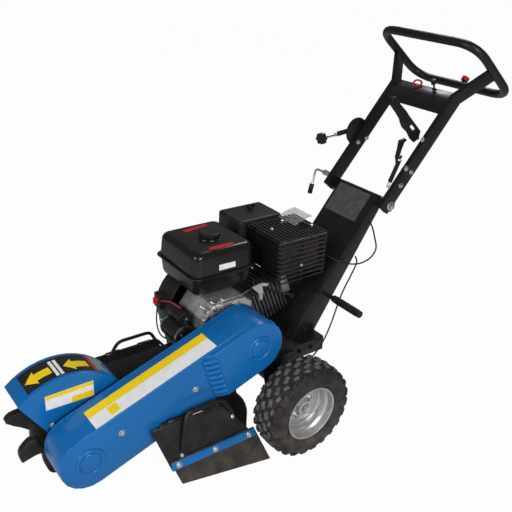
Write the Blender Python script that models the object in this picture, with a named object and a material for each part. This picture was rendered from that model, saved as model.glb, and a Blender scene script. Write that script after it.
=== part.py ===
"""Stump grinder on two wheels: petrol engine, belt-driven cutter under a hood, and a folding loop handle.

Every size below is in metres, in the machine's own level frame: X forwards to the cutter, Y to the left
(the belt side), Z up. The empty "machine" then leans that frame forward until the lowest claw of the
cutter stands on the ground with the two tyres.
"""

import math

import bmesh
import bpy
from mathutils import Matrix, Vector

# Stance
AXLE_Z = 0.165
LEAN = math.radians(2.0)
SHIFT_X = 0.0301
GAP = 0.0003

# Wheels
TYRE_R = 0.165
TYRE_Y = 0.285
TYRE_SEGMENTS = 28
RIM_SEGMENTS = 24
AXLE_R = 0.0125

# Cutter
CUTTER = Vector((0.695, 0.0, 0.200))
CUTTER_TIP_R = 0.1778
CLAWS = 7
TIP_ANGLE = -78.0
SHAFT_R = 0.015

# Engine and deck
CRANK = Vector((0.135, 0.0, 0.395))
DECK_TOP = 0.289
DECK_HALF = 0.145
DECK_NOSE_RIGHT = 0.100
DECK_NOSE_LEFT = 0.0775
DECK_SHEET = 0.005

# Belt drive
COVER_R = 0.0885
COVER_IN = 0.088
COVER_OUT = 0.200
RAISED_OUT = 0.222
RAISED_FOOT = 0.411
RAISED_TOP = 0.447
SHEET = 0.0025
PULLEY_Y = 0.147
CRANK_PULLEY_R = 0.048
CUTTER_PULLEY_R = 0.072
BELT_HALF = 0.012
IDLER_R = 0.022

# Hood over the cutter
HOOD_R = 0.205
HOOD_HALF = 0.060
HOOD_SHEET = 0.004

# Side guards
GUARD_HINGE_Y = 0.209
GUARD_HINGE_Z = 0.240
GUARD_TILT = math.radians(19.0)

# Column and handle
COLUMN_HALF = 0.100
HANDLE_PIVOT = Vector((-0.4530, 0.0, 0.729))
POST_IN = 0.1295
POST_OUT = 0.148
BAR_FRONT = Vector((-0.679, 0.0, 1.2595))
BAR_REAR = Vector((-0.920, 0.0, 1.071))
BAR_HALF = 0.2165
BAR_R = 0.0155

BLACK_PAINT = ("black_paint", (0.02, 0.02, 0.022), 0.42, 0.0)
BLUE_PAINT = ("blue_paint", (0.02, 0.15, 0.46), 0.32, 0.0)
TYRE_RUBBER = ("tyre_rubber", (0.03, 0.03, 0.03), 0.85, 0.0)
FLAP_RUBBER = ("flap_rubber", (0.045, 0.04, 0.038), 0.75, 0.0)
GRIP_FOAM = ("grip_foam", (0.02, 0.02, 0.02), 0.7, 0.0)
SILVER_PAINT = ("silver_paint", (0.62, 0.62, 0.63), 0.35, 0.6)
CAST_ALUMINIUM = ("cast_aluminium", (0.55, 0.56, 0.57), 0.45, 0.9)
DARK_STEEL = ("dark_steel", (0.05, 0.045, 0.045), 0.5, 0.8)
BRIGHT_STEEL = ("bright_steel", (0.6, 0.6, 0.6), 0.3, 1.0)
BLACK_PLASTIC = ("black_plastic", (0.025, 0.025, 0.025), 0.5, 0.0)
RED_PLASTIC = ("red_plastic", (0.55, 0.02, 0.02), 0.4, 0.0)
CABLE_SHEATH = ("cable_sheath", (0.02, 0.02, 0.02), 0.5, 0.0)

machine = None


def clear_scene():
    for obj in list(bpy.data.objects):
        bpy.data.objects.remove(obj, do_unlink=True)


def lean_frame():
    """The empty that carries everything, placed so that the level frame's axle lands over the tyres."""
    empty = bpy.data.objects.new("machine", None)
    bpy.context.scene.collection.objects.link(empty)
    axle = Matrix.Rotation(LEAN, 3, "Y") @ Vector((0.0, 0.0, AXLE_Z))
    empty.location = Vector((SHIFT_X, 0.0, TYRE_R)) - axle
    empty.rotation_euler = (0.0, LEAN, 0.0)
    return empty


def finish_material(finish):
    name, colour, roughness, metallic = finish
    found = bpy.data.materials.get(name)
    if found:
        return found
    made = bpy.data.materials.new(name)
    made.use_nodes = True
    shader = made.node_tree.nodes["Principled BSDF"]
    shader.inputs["Base Color"].default_value = (*colour, 1.0)
    shader.inputs["Roughness"].default_value = roughness
    shader.inputs["Metallic"].default_value = metallic
    return made


# Outlines, as lists of (u, v) points


def arc(centre, radius, start, end, steps):
    """Points on a circle from start to end, in degrees."""
    angles = [math.radians(start + (end - start) * i / steps) for i in range(steps + 1)]
    return [(centre[0] + radius * math.cos(a), centre[1] + radius * math.sin(a)) for a in angles]


def belt_outline(low, low_r, high, high_r, steps):
    """The line that a belt takes round two circles."""
    across = Vector((high[0] - low[0], high[1] - low[1]))
    turn = math.degrees(math.atan2(across.y, across.x))
    open_angle = math.degrees(math.acos((low_r - high_r) / across.length))
    near = arc(high, high_r, turn - open_angle, turn + open_angle, steps)
    far = arc(low, low_r, turn + open_angle, turn + 360.0 - open_angle, steps)
    return near + far


def rounded(width, depth, radius, steps=3, centre=(0.0, 0.0)):
    """A rectangle with round corners."""
    points = []
    for corner, (sx, sy) in enumerate(((1, 1), (-1, 1), (-1, -1), (1, -1))):
        middle = (centre[0] + sx * (width / 2 - radius), centre[1] + sy * (depth / 2 - radius))
        points += arc(middle, radius, 90.0 * corner, 90.0 * corner + 90.0, steps)
    return points


def xz(point, y):
    return Vector((point[0], y, point[1]))


# Pieces of stock, fused later into one sub-part


def stock(bm):
    bmesh.ops.recalc_face_normals(bm, faces=bm.faces)
    mesh = bpy.data.meshes.new("stock")
    bm.to_mesh(mesh)
    bm.free()
    obj = bpy.data.objects.new("stock", mesh)
    bpy.context.scene.collection.objects.link(obj)
    return obj


def bridged(rings, closed=False, caps=True):
    """A skin over rings with the same number of points."""
    bm = bmesh.new()
    loops = [[bm.verts.new(point) for point in ring] for ring in rings]
    count = len(loops[0])
    pairs = list(zip(loops, loops[1:]))
    if closed:
        pairs.append((loops[-1], loops[0]))
    for first, second in pairs:
        for i in range(count):
            j = (i + 1) % count
            bm.faces.new((first[i], first[j], second[j], second[i]))
    if caps and not closed:
        bm.faces.new(loops[0])
        bm.faces.new(loops[-1])
    return stock(bm)


def plate(outline, y0, y1):
    """An outline in X and Z with its thickness along Y."""
    return bridged([[Vector((u, y, v)) for u, v in outline] for y in (y0, y1)])


def slab(outline, z0, z1):
    """An outline in X and Y with its thickness along Z."""
    return bridged([[Vector((u, v, z)) for u, v in outline] for z in (z0, z1)])


def panel(outline, x0, x1):
    """An outline in Y and Z with its thickness along X."""
    return bridged([[Vector((x, u, v)) for u, v in outline] for x in (x0, x1)])


def block(low, high):
    outline = ((low[0], low[1]), (high[0], low[1]), (high[0], high[1]), (low[0], high[1]))
    return slab(outline, low[2], high[2])


def turned(profile, centre, segments, phase=0.0):
    """A closed profile of (radius, y) points turned about the Y axis through a centre."""
    rings = []
    for i in range(segments):
        angle = math.radians(phase) + 2 * math.pi * i / segments
        across = Vector((math.cos(angle), 0.0, math.sin(angle)))
        rings.append([Vector(centre) + across * r + Vector((0.0, y, 0.0)) for r, y in profile])
    return bridged(rings, closed=True)


def disc(centre, radius, y0, y1, segments=16):
    return plate(arc((centre[0], centre[2]), radius, 0.0, 360.0, segments)[:-1], y0, y1)


def rod(start, end, radius, segments=10):
    start, end = Vector(start), Vector(end)
    turn = (end - start).to_track_quat("Z", "Y")
    ring = [Vector((u, v, 0.0)) for u, v in arc((0.0, 0.0), radius, 0.0, 360.0, segments)[:-1]]
    return bridged([[turn @ point + place for point in ring] for place in (start, end)])


def bent_path(corners, bend, steps, cyclic=False):
    """A path whose corners are rounded with a bend of this size."""
    corners = [Vector(c) for c in corners]
    count = len(corners)
    path = []
    for i, corner in enumerate(corners):
        if not cyclic and i in (0, count - 1):
            path.append(corner)
            continue
        before = corners[i - 1] - corner
        after = corners[(i + 1) % count] - corner
        reach = min(bend, before.length * 0.49, after.length * 0.49)
        first = corner + before.normalized() * reach
        last = corner + after.normalized() * reach
        for k in range(steps + 1):
            t = k / steps
            path.append(first * (1 - t) ** 2 + corner * 2 * t * (1 - t) + last * t**2)
    return path


def smooth_path(points, steps):
    """A Catmull-Rom curve through points, read at even steps."""
    points = [Vector(p) for p in points]
    ends = [points[0] * 2 - points[1], *points, points[-1] * 2 - points[-2]]
    path = []
    for a, b, c, d in zip(ends, ends[1:], ends[2:], ends[3:]):
        for k in range(steps):
            t = k / steps
            square = (2 * a - 5 * b + 4 * c - d) * t**2
            cube = (3 * b - a - 3 * c + d) * t**3
            path.append(0.5 * (2 * b + (c - a) * t + square + cube))
    return [*path, points[-1]]


def tube(name, path, radius, resolution=2, cyclic=False):
    curve = bpy.data.curves.new(name, "CURVE")
    curve.dimensions = "3D"
    curve.bevel_depth = radius
    curve.bevel_resolution = resolution
    curve.use_fill_caps = not cyclic
    line = curve.splines.new("POLY")
    line.points.add(len(path) - 1)
    line.use_cyclic_u = cyclic
    for point, place in zip(line.points, path):
        point.co = (*place, 1.0)
    obj = bpy.data.objects.new(name, curve)
    bpy.context.scene.collection.objects.link(obj)
    return obj


def bent_rod(path, radius, resolution=2, cyclic=False):
    """A tube as a mesh, with its end caps welded on."""
    curve = tube("bent", path, radius, resolution, cyclic)
    mesh = bpy.data.meshes.new_from_object(curve.evaluated_get(bpy.context.evaluated_depsgraph_get()))
    bpy.data.objects.remove(curve, do_unlink=True)
    bm = bmesh.new()
    bm.from_mesh(mesh)
    bmesh.ops.remove_doubles(bm, verts=bm.verts, dist=0.00001)
    return stock(bm)


def fuse(name, finish, joined, cuts=(), pivot=(0.0, 0.0, 0.0), turn=(0.0, 0.0, 0.0)):
    """One sub-part: the first piece of stock with the others joined to it and the cuts taken out."""
    base, *others = joined
    for operation, tools in (("UNION", others), ("DIFFERENCE", cuts)):
        for tool in tools:
            step = base.modifiers.new(operation.lower(), "BOOLEAN")
            step.operation = operation
            step.solver = "EXACT"
            step.object = tool
    mesh = bpy.data.meshes.new_from_object(base.evaluated_get(bpy.context.evaluated_depsgraph_get()))
    for piece in [*joined, *cuts]:
        bpy.data.objects.remove(piece, do_unlink=True)
    return settle(name, finish, mesh, pivot, turn)


def settle(name, finish, mesh, pivot=(0.0, 0.0, 0.0), turn=(0.0, 0.0, 0.0)):
    mesh.name = name
    mesh.materials.clear()
    mesh.materials.append(finish_material(finish))
    mesh.transform(Matrix.Translation(-Vector(pivot)))
    mesh.shade_smooth()
    mesh.set_sharp_from_angle(angle=math.radians(35.0))
    obj = bpy.data.objects.new(name, mesh)
    bpy.context.scene.collection.objects.link(obj)
    obj.location = pivot
    obj.rotation_euler = turn
    obj.parent = machine
    return obj


# Wheels


def wheel(side, sign):
    """Tyre and rim of one wheel. The profiles run outwards from the machine; sign puts them on its side."""
    hub = Vector((0.0, sign * TYRE_Y, AXLE_Z))
    tread = TYRE_R / math.cos(math.pi / TYRE_SEGMENTS)
    half = ((0.092, 0.050), (0.125, 0.0625), (0.155, 0.058), (tread, 0.046))
    inside = ((0.151, 0.046), (0.125, 0.0535), (0.092, 0.040))
    section = [(r, -y) for r, y in half] + list(reversed(half))
    section += [(r, y) for r, y in reversed(inside)] + [(r, -y) for r, y in inside]
    flat_down = math.degrees(LEAN) - 90.0 + 180.0 / TYRE_SEGMENTS
    tyre = turned(section, hub, TYRE_SEGMENTS, phase=flat_down)
    fuse(f"tyre_{side}", TYRE_RUBBER, [tyre], pivot=hub)

    outer = ((0.0950, 0.0555), (0.0950, 0.0528), (0.0908, 0.0505), (0.0908, 0.030), (0.080, 0.022))
    inner = ((0.0765, 0.0235), (0.0885, 0.031), (0.0885, 0.0545))
    dish = ((0.0765, -0.004), (0.0240, -0.010), (0.0240, 0.012), (0.0450, 0.006), (0.0765, 0.001))
    section = list(outer) + [(r, -y) for r, y in reversed(outer)]
    section += [(r, -y) for r, y in reversed(inner)] + list(dish) + list(inner)
    rim = turned([(r, sign * y) for r, y in section], hub, RIM_SEGMENTS)
    sleeve_r = AXLE_R + 0.0005
    sleeve = ((sleeve_r, -0.045), (0.026, -0.045), (0.026, 0.022), (sleeve_r, 0.022))
    hub_tube = turned([(r, sign * y) for r, y in sleeve], hub, 16)
    nuts = []
    for i in range(4):
        angle = math.radians(45.0 + 90.0 * i)
        centre = hub + Vector((0.036 * math.cos(angle), 0.0, 0.036 * math.sin(angle)))
        nuts.append(disc(centre, 0.009, hub.y + sign * 0.004, hub.y + sign * 0.020, 6))
    fuse(f"rim_{side}", SILVER_PAINT, [rim, hub_tube, *nuts], pivot=hub)


def axle():
    """A dead axle with a collar and a locked nut outside each hub."""
    reach = TYRE_Y + 0.034
    bar = rod((0.0, -reach, AXLE_Z), (0.0, reach, AXLE_Z), AXLE_R, 16)
    near, far = TYRE_Y + 0.0225, TYRE_Y + 0.031
    nuts = [disc((0.0, 0.0, AXLE_Z), 0.018, sign * near, sign * far, 6) for sign in (1, -1)]
    fuse("axle", BRIGHT_STEEL, [bar, *nuts])


# Chassis


def deck_outline(inset, rear, front):
    """The deck from above: wide over the axle, then a narrower nose that runs out to the hood."""
    half, right, left = DECK_HALF - inset, DECK_NOSE_RIGHT - inset, DECK_NOSE_LEFT - inset
    step = 0.160 - inset
    return (
        (rear + inset, -half), (step, -half), (step, -right), (front, -right),
        (front, left), (step, left), (step, half), (rear + inset, half),
    )


def deck_frame():
    """Folded deck, open at the front and below, with the two plates that hold the axle."""
    skin = slab(deck_outline(0.0, -0.205, 0.510), 0.235, DECK_TOP)
    hollow = slab(deck_outline(DECK_SHEET, -0.205, 0.520), 0.220, DECK_TOP - DECK_SHEET)
    outline = [(-0.065, 0.280), (-0.040, 0.150), *arc((0.0, AXLE_Z), 0.035, 205.0, 335.0, 5)]
    outline += [(0.040, 0.150), (0.065, 0.280)]
    hangers = []
    for sign in (1, -1):
        inner, outer = DECK_HALF - 0.001, DECK_HALF + 0.008
        hangers.append(plate(outline, sign * inner, sign * outer))
    bore = rod((0.0, -0.2, AXLE_Z), (0.0, 0.2, AXLE_Z), AXLE_R + 0.0006, 16)
    base = fuse_plain(skin, hollow)
    fuse("deck_frame", BLACK_PAINT, [base, *hangers], [bore])


def fuse_plain(base, cut):
    """A piece of stock with one cut taken out, still stock."""
    step = base.modifiers.new("difference", "BOOLEAN")
    step.operation = "DIFFERENCE"
    step.solver = "EXACT"
    step.object = cut
    mesh = bpy.data.meshes.new_from_object(base.evaluated_get(bpy.context.evaluated_depsgraph_get()))
    for piece in (base, cut):
        bpy.data.objects.remove(piece, do_unlink=True)
    bm = bmesh.new()
    bm.from_mesh(mesh)
    return stock(bm)


BOOM_OUTLINE = (
    (0.160, 0.242), (0.340, 0.215), (0.500, 0.146), (0.560, 0.136), (0.670, 0.152), (0.720, 0.152),
    (0.740, 0.175), (0.740, 0.228), (0.715, 0.244), (0.600, 0.250), (0.480, 0.2835), (0.160, 0.2835),
)
BOOM_IN = 0.064
BOOM_OUT = 0.072


def cutter_boom():
    """Two arms from under the deck to the cutter shaft, with two cross members behind the cutter."""
    arms = [plate(BOOM_OUTLINE, sign * BOOM_IN, sign * BOOM_OUT) for sign in (1, -1)]
    across = [
        block((0.180, -BOOM_IN - 0.002, 0.246), (0.230, BOOM_IN + 0.002, 0.280)),
        block((0.440, -BOOM_IN - 0.002, 0.200), (0.480, BOOM_IN + 0.002, 0.270)),
    ]
    bore = disc(CUTTER, 0.019, -0.1, 0.1)
    fuse("cutter_boom", BLACK_PAINT, [arms[0], *across, arms[1]], [bore])


def bearing(side, sign):
    """Flange bearing of the cutter shaft, bolted to the outside of an arm."""
    bore = SHAFT_R + 0.0005
    y = BOOM_OUT + GAP
    section = ((bore, y), (0.040, y), (0.040, y + 0.005), (0.026, y + 0.007))
    section += ((0.024, y + 0.0135), (bore, y + 0.0135))
    shape = turned([(r, sign * along) for r, along in section], CUTTER, 16)
    fuse(f"bearing_{side}", CAST_ALUMINIUM, [shape])


def cutter_hood():
    """Rolled band and two cheeks over the upper half of the cutter, open at the front and below."""
    centre = (CUTTER.x, CUTTER.z)
    outline = [(0.700, 0.224), (0.757, 0.230), *arc(centre, HOOD_R, 47.0, 146.0, 12)]
    outline += [(0.560, 0.270), (0.620, 0.247)]
    skin = plate(outline, -HOOD_HALF, HOOD_HALF)
    room = [(0.950, 0.100), *arc(centre, HOOD_R - HOOD_SHEET, 30.0, 160.0, 16), (0.450, 0.100)]
    hollow = plate(room, -HOOD_HALF + HOOD_SHEET, HOOD_HALF - HOOD_SHEET)
    fuse("cutter_hood", BLUE_PAINT, [skin], [hollow])


def rear_deflector():
    """Chip plate under the deck's step, with round upper corners and two ears that hang it from the deck."""
    half, low, high, corner = 0.200, 0.070, 0.185, 0.040
    outline = [(-half, low), (half, low), *arc((half - corner, high - corner), corner, 0.0, 90.0, 4)]
    outline += [(0.135, high), (0.135, 0.2347), (0.085, 0.2347), (0.085, high)]
    outline += [(-0.085, high), (-0.085, 0.2347), (-0.135, 0.2347), (-0.135, high)]
    outline += arc((corner - half, high - corner), corner, 90.0, 180.0, 4)
    fuse("rear_deflector", BLACK_PAINT, [panel(outline, 0.1555, 0.1595)])


# Belt drive


def cover_outline(radius, steps=10):
    return belt_outline((CUTTER.x, CUTTER.z), radius, (CRANK.x, CRANK.z), radius, steps)


def raised_outline(foot, radius, steps=10):
    """The cover's outline from a line across it, this far from the cutter shaft, to its upper end."""
    low, high = Vector((CUTTER.x, CUTTER.z)), Vector((CRANK.x, CRANK.z))
    along = (high - low).normalized()
    side = Vector((-along.y, along.x))
    turn = math.degrees(math.atan2(along.y, along.x))
    points = arc(high, radius, turn - 90.0, turn + 90.0, steps)
    cut = low + along * foot
    return points + [tuple(cut + side * radius), tuple(cut - side * radius)]


def belt_cover():
    """Pressed cover with a deeper upper end, which the crank pulley and its clutch need."""
    skin = plate(cover_outline(COVER_R), COVER_IN, COVER_OUT)
    inset = 0.0007
    low = [xz(p, COVER_OUT - 0.004) for p in raised_outline(RAISED_FOOT, COVER_R - inset)]
    high = [xz(p, RAISED_OUT) for p in raised_outline(RAISED_TOP, COVER_R - inset)]
    raised = bridged([low, high])
    room = plate(cover_outline(COVER_R - SHEET), COVER_IN - 0.01, COVER_OUT - SHEET)
    low = [xz(p, COVER_OUT - 0.008) for p in raised_outline(RAISED_FOOT + 0.005, COVER_R - 2 * SHEET)]
    high = [xz(p, RAISED_OUT - SHEET) for p in raised_outline(RAISED_TOP + 0.005, COVER_R - 2 * SHEET)]
    raised_room = bridged([low, high])
    fuse("belt_cover", BLUE_PAINT, [skin, raised], [room, raised_room])


def belt_back_plate():
    """Flat back of the belt case, with openings for the cutter bearing and the crank."""
    sheet = plate(cover_outline(COVER_R), 0.0805, COVER_IN - GAP)
    holes = [disc(CUTTER, 0.045, 0.07, 0.1), disc(CRANK, 0.030, 0.07, 0.1)]
    fuse("belt_back_plate", BLUE_PAINT, [sheet], holes)


def pulley_section(radius, bore, half, depth):
    lip = half + 0.004
    groove = radius - depth
    section = ((bore, -lip), (radius, -lip), (radius, -half), (groove, -half + 0.002))
    return section + ((groove, half - 0.002), (radius, half), (radius, lip), (bore, lip))


def drive_pulley():
    """Crank pulley on the end of the crankshaft."""
    centre = CRANK + Vector((0.0, PULLEY_Y, 0.0))
    wheel_shape = turned(pulley_section(CRANK_PULLEY_R, 0.010, BELT_HALF + 0.001, 0.009), centre, 20)
    stub = disc(CRANK, 0.0125, 0.0565, 0.185, 12)
    clutch = disc(CRANK, 0.034, 0.162, 0.182, 16)
    fuse("drive_pulley", DARK_STEEL, [wheel_shape, stub, clutch], pivot=CRANK)


def cutter_pulley():
    centre = CUTTER + Vector((0.0, PULLEY_Y, 0.0))
    section = pulley_section(CUTTER_PULLEY_R, SHAFT_R + 0.0004, BELT_HALF + 0.001, 0.009)
    fuse("cutter_pulley", DARK_STEEL, [turned(section, centre, 20)], pivot=CUTTER)


def drive_belt():
    low, high = (CUTTER.x, CUTTER.z), (CRANK.x, CRANK.z)
    inner = 0.0075
    outside = belt_outline(low, CUTTER_PULLEY_R + 0.0006, high, CRANK_PULLEY_R + 0.0006, 10)
    inside = belt_outline(low, CUTTER_PULLEY_R - inner, high, CRANK_PULLEY_R - inner, 10)
    low_y, high_y = PULLEY_Y - BELT_HALF + 0.002, PULLEY_Y + BELT_HALF - 0.002
    band = plate(outside, low_y, high_y)
    fuse("drive_belt", FLAP_RUBBER, [band], [plate(inside, low_y - 0.01, high_y + 0.01)])


IDLER = Vector((0.402, PULLEY_Y, 0.2708))
IDLER_PIVOT = Vector((0.3456, 0.105, 0.3217))


def idler():
    """Belt tensioner: a short arm on the back plate with a flat pulley inside the belt's lower run."""
    arm_y = 0.104
    outline = belt_outline((IDLER.x, IDLER.z), 0.011, (IDLER_PIVOT.x, IDLER_PIVOT.z), 0.013, 5)
    arm = plate(outline, arm_y, arm_y + 0.006)
    boss = disc(IDLER_PIVOT, 0.010, COVER_IN + 0.001, arm_y + 0.010, 10)
    pin = disc(IDLER, 0.006, arm_y + 0.002, PULLEY_Y + 0.016, 10)
    fuse("idler_arm", DARK_STEEL, [arm, boss, pin], pivot=IDLER_PIVOT)
    bore, half = 0.0064, 0.013
    section = ((bore, -half), (IDLER_R, -half), (IDLER_R, half), (bore, half))
    fuse("idler_pulley", BRIGHT_STEEL, [turned(section, IDLER, 16)], pivot=IDLER)


# Cutter


LONG_CLAW = (
    (0.088, 27.0), (0.108, 25.0), (0.122, 20.8), (0.137, 16.0), (0.149, 12.4), (0.160, 9.0), (0.1695, 6.0),
    (0.1755, 2.6), (CUTTER_TIP_R, -1.0), (0.1750, -2.5), (0.165, -3.2), (0.153, -4.9), (0.130, -7.5),
    (0.1145, -10.5), (0.100, -15.0), (0.088, -19.0),
)
SHORT_CLAW = (
    (0.088, 27.0), (0.108, 25.0), (0.122, 20.8), (0.137, 16.0), (0.146, 11.0), (0.151, 5.0), (0.1535, 0.5),
    (0.151, -1.0), (0.133, -2.5), (0.1145, -5.0), (0.100, -10.0), (0.088, -16.0),
)


def cutter_wheel():
    """Disc with hooked claws that point the way it turns, long and short by turns, offset to either side."""
    claws = []
    for i in range(CLAWS):
        tip = TIP_ANGLE + 360.0 * i / CLAWS
        outline = []
        for radius, turn in SHORT_CLAW if i % 2 else LONG_CLAW:
            angle = math.radians(tip + turn)
            outline.append((CUTTER.x + radius * math.cos(angle), CUTTER.z + radius * math.sin(angle)))
        middle = 0.012 if i % 2 else -0.012
        claws.append(plate(outline, middle - 0.013, middle + 0.013))
    body = disc(CUTTER, 0.100, -0.0095, 0.0095, 24)
    hub = disc(CUTTER, 0.034, -0.045, 0.045, 16)
    bore = disc(CUTTER, SHAFT_R + 0.0005, -0.1, 0.1, 16)
    fuse("cutter_wheel", DARK_STEEL, [body, hub, *claws], [bore], pivot=CUTTER)


def cutter_shaft():
    fuse("cutter_shaft", BRIGHT_STEEL, [disc(CUTTER, SHAFT_R, -0.092, 0.172, 16)], pivot=CUTTER)


# Side guards


def guard_bar(side, sign):
    """Bent bar that a side guard hangs on, from the deck out to the hinge line and back to the boom."""
    y = sign * GUARD_HINGE_Y
    deck = DECK_NOSE_LEFT if sign > 0 else DECK_NOSE_RIGHT
    corners = [
        (0.262, sign * (deck + GAP), GUARD_HINGE_Z), (0.262, y, GUARD_HINGE_Z), (0.478, y, GUARD_HINGE_Z),
        (0.478, y, 0.168), (0.478, sign * (BOOM_OUT + GAP), 0.168),
    ]
    shape = bent_rod(bent_path(corners, 0.016, 3), 0.005)
    fuse(f"guard_bar_{side}", BLACK_PAINT, [shape])


def side_guard(side, sign):
    """Guard plate with hinge knuckles and loop handle, its rubber flap, and the strip that clamps the flap.

    They are drawn upright about the hinge line and then tilted outwards.
    """
    hinge = Vector((0.0, sign * GUARD_HINGE_Y, GUARD_HINGE_Z))
    tilt = (sign * GUARD_TILT, 0.0, 0.0)

    def layer(outline, near, far):
        return plate([(x, -drop) for x, drop in outline], sign * near, sign * far)

    def make(name, finish, joined, cuts=()):
        made = fuse(name, finish, joined, cuts)
        made.location = hinge
        made.rotation_euler = tilt

    outline = ((0.282, 0.004), (0.512, 0.004), (0.512, 0.014))
    outline += ((0.472, 0.142), (0.172, 0.142), (0.262, 0.014))
    sheet = layer(outline, 0.0056, 0.0086)
    spans = ((0.285, 0.335), (0.405, 0.455))
    knuckles = [rod((x0, 0.0, 0.0), (x1, 0.0, 0.0), 0.0076, 10) for x0, x1 in spans]
    bore = rod((0.2, 0.0, 0.0), (0.6, 0.0, 0.0), 0.0056, 10)
    loop = (
        (0.432, 0.007, -0.100), (0.432, 0.020, -0.085), (0.418, 0.025, -0.030), (0.400, 0.0255, 0.018),
        (0.278, 0.0255, 0.018), (0.252, 0.022, -0.028), (0.240, 0.016, -0.040), (0.240, 0.007, -0.045),
    )
    path = bent_path([(x, sign * out, up) for x, out, up in loop], 0.020, 4)
    make(f"side_guard_{side}", BLACK_PAINT, [sheet, *knuckles, bent_rod(path, 0.006)], [bore])
    flap = layer(((0.172, 0.116), (0.474, 0.116), (0.447, 0.196), (0.128, 0.243)), 0.0089, 0.0129)
    make(f"guard_flap_{side}", FLAP_RUBBER, [flap])
    strip = layer(((0.173, 0.119), (0.474, 0.119), (0.474, 0.144), (0.173, 0.144)), 0.0132, 0.0172)
    make(f"flap_strip_{side}", BLUE_PAINT, [strip])


# Column and handle


def column():
    """Folded channel, deep at the deck and shallow at the top, with the tube that the handle turns on."""
    skin_outline = (
        (-0.086, DECK_TOP + GAP), (-0.443, 0.752), (-0.476, 0.740), (-0.352, 0.540), (-0.197, DECK_TOP + GAP),
    )
    room_outline = ((-0.095, 0.270), (-0.450, 0.735), (-0.520, 0.745), (-0.400, 0.500), (-0.240, 0.270))
    skin = plate(skin_outline, -COLUMN_HALF, COLUMN_HALF)
    room = plate(room_outline, 0.003 - COLUMN_HALF, COLUMN_HALF - 0.003)
    head = disc(HANDLE_PIVOT, 0.019, GAP - POST_IN, POST_IN - GAP, 16)
    fuse("column", BLACK_PAINT, [fuse_plain(skin, room), head])


POST_LINE = ((-0.425, 0.716), (-0.718, 1.068), (-0.800, 1.1646))
POST_HALF = 0.0245
POST_SHEET = 0.0022


def offset_line(line, distance):
    """The line moved sideways, with its corner mitred."""
    a, b, c = (Vector(p) for p in line)
    first, second = (b - a).normalized(), (c - b).normalized()
    side_a, side_b = Vector((-first.y, first.x)), Vector((-second.y, second.x))
    mitre = (side_a + side_b).normalized()
    return [a + side_a * distance, b + mitre * distance / mitre.dot(side_a), c + side_b * distance]


def post_stock(sign, inset):
    """The post's outside, or with an inset the room inside it, which runs out through both ends."""
    splay = BAR_HALF - (POST_IN + POST_OUT) / 2
    rings = []
    lefts = offset_line(POST_LINE, POST_HALF - inset)
    rights = offset_line(POST_LINE, inset - POST_HALF)
    for left, right, out in zip(lefts, rights, (0.0, 0.0, splay)):
        near, far = sign * (POST_IN + inset + out), sign * (POST_OUT - inset + out)
        rings.append([xz(left, near), xz(left, far), xz(right, far), xz(right, near)])
    if inset:
        for end, neighbour in ((0, 1), (-1, -2)):
            reach = [(a - b).normalized() * 0.03 for a, b in zip(rings[end], rings[neighbour])]
            rings[end] = [point + step for point, step in zip(rings[end], reach)]
    return bridged(rings)


def handle_post(side, sign):
    """Bent rectangular tube from the head tube to the handlebar, splayed outwards above its bend."""
    shell = fuse_plain(post_stock(sign, 0.0), post_stock(sign, POST_SHEET))
    foot = disc(HANDLE_PIVOT, 0.0225, sign * POST_IN, sign * POST_OUT, 16)
    y = sign * BAR_HALF
    low, high = Vector((BAR_REAR.x, y, BAR_REAR.z)), Vector((BAR_FRONT.x, y, BAR_FRONT.z))
    saddle = rod(low, high, BAR_R + GAP, 24)
    fuse(f"handle_post_{side}", BLACK_PAINT, [shell, foot], [saddle], pivot=HANDLE_PIVOT)


def stop_place(height):
    """A point over the middle of the handlebar's rear bar, this far from its axis."""
    across = (BAR_FRONT - BAR_REAR).normalized()
    return BAR_REAR + Vector((-across.z, 0.0, across.x)) * height


def handlebar():
    """Closed loop of round tube under a foam sleeve, with the stub that the stop button slides on."""
    corners = []
    for bar, sign in ((BAR_FRONT, 1), (BAR_FRONT, -1), (BAR_REAR, -1), (BAR_REAR, 1)):
        corners.append((bar.x, sign * BAR_HALF, bar.z))
    path = bent_path(corners, 0.085, 6, cyclic=True)
    stub = rod(stop_place(0.005), stop_place(BAR_R + 0.012), 0.0085, 12)
    fuse("handlebar", GRIP_FOAM, [bent_rod(path, BAR_R, 3, cyclic=True), stub], pivot=HANDLE_PIVOT)


def stop_button():
    """Red engine stop, a cap over its stub on the handlebar."""
    cap = rod(stop_place(BAR_R + 0.005), stop_place(BAR_R + 0.0205), 0.0145, 14)
    room = rod(stop_place(BAR_R + 0.004), stop_place(BAR_R + 0.0165), 0.0092, 12)
    fuse("stop_button", RED_PLASTIC, [cap], [room], pivot=stop_place(BAR_R))


def cross_plate():
    """Folded plate between the posts, its upper part turned back as a small shelf."""
    outline = ((-0.6525, 1.022), (-0.6855, 1.066), (-0.735, 1.0835), (-0.736, 1.0805), (-0.688, 1.0635))
    outline += ((-0.6555, 1.0202),)
    half = POST_IN - GAP
    fuse("cross_plate", BLACK_PAINT, [plate(outline, -half, half)], pivot=HANDLE_PIVOT)


QUADRANT = Vector((-0.552, 0.0, 0.906))


def brake_quadrant():
    """Quadrant plate on the outside of the right post, with a stub that carries the lever."""
    y = -POST_OUT - GAP
    outline = [*arc((QUADRANT.x, QUADRANT.z), 0.050, -40.0, 200.0, 16), (-0.572, 0.866), (-0.530, 0.857)]
    body = plate(outline, y - 0.006, y)
    boss = disc(QUADRANT, 0.016, y - 0.010, y - 0.001, 12)
    fuse("brake_quadrant", BLACK_PLASTIC, [body, boss], pivot=QUADRANT)


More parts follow.
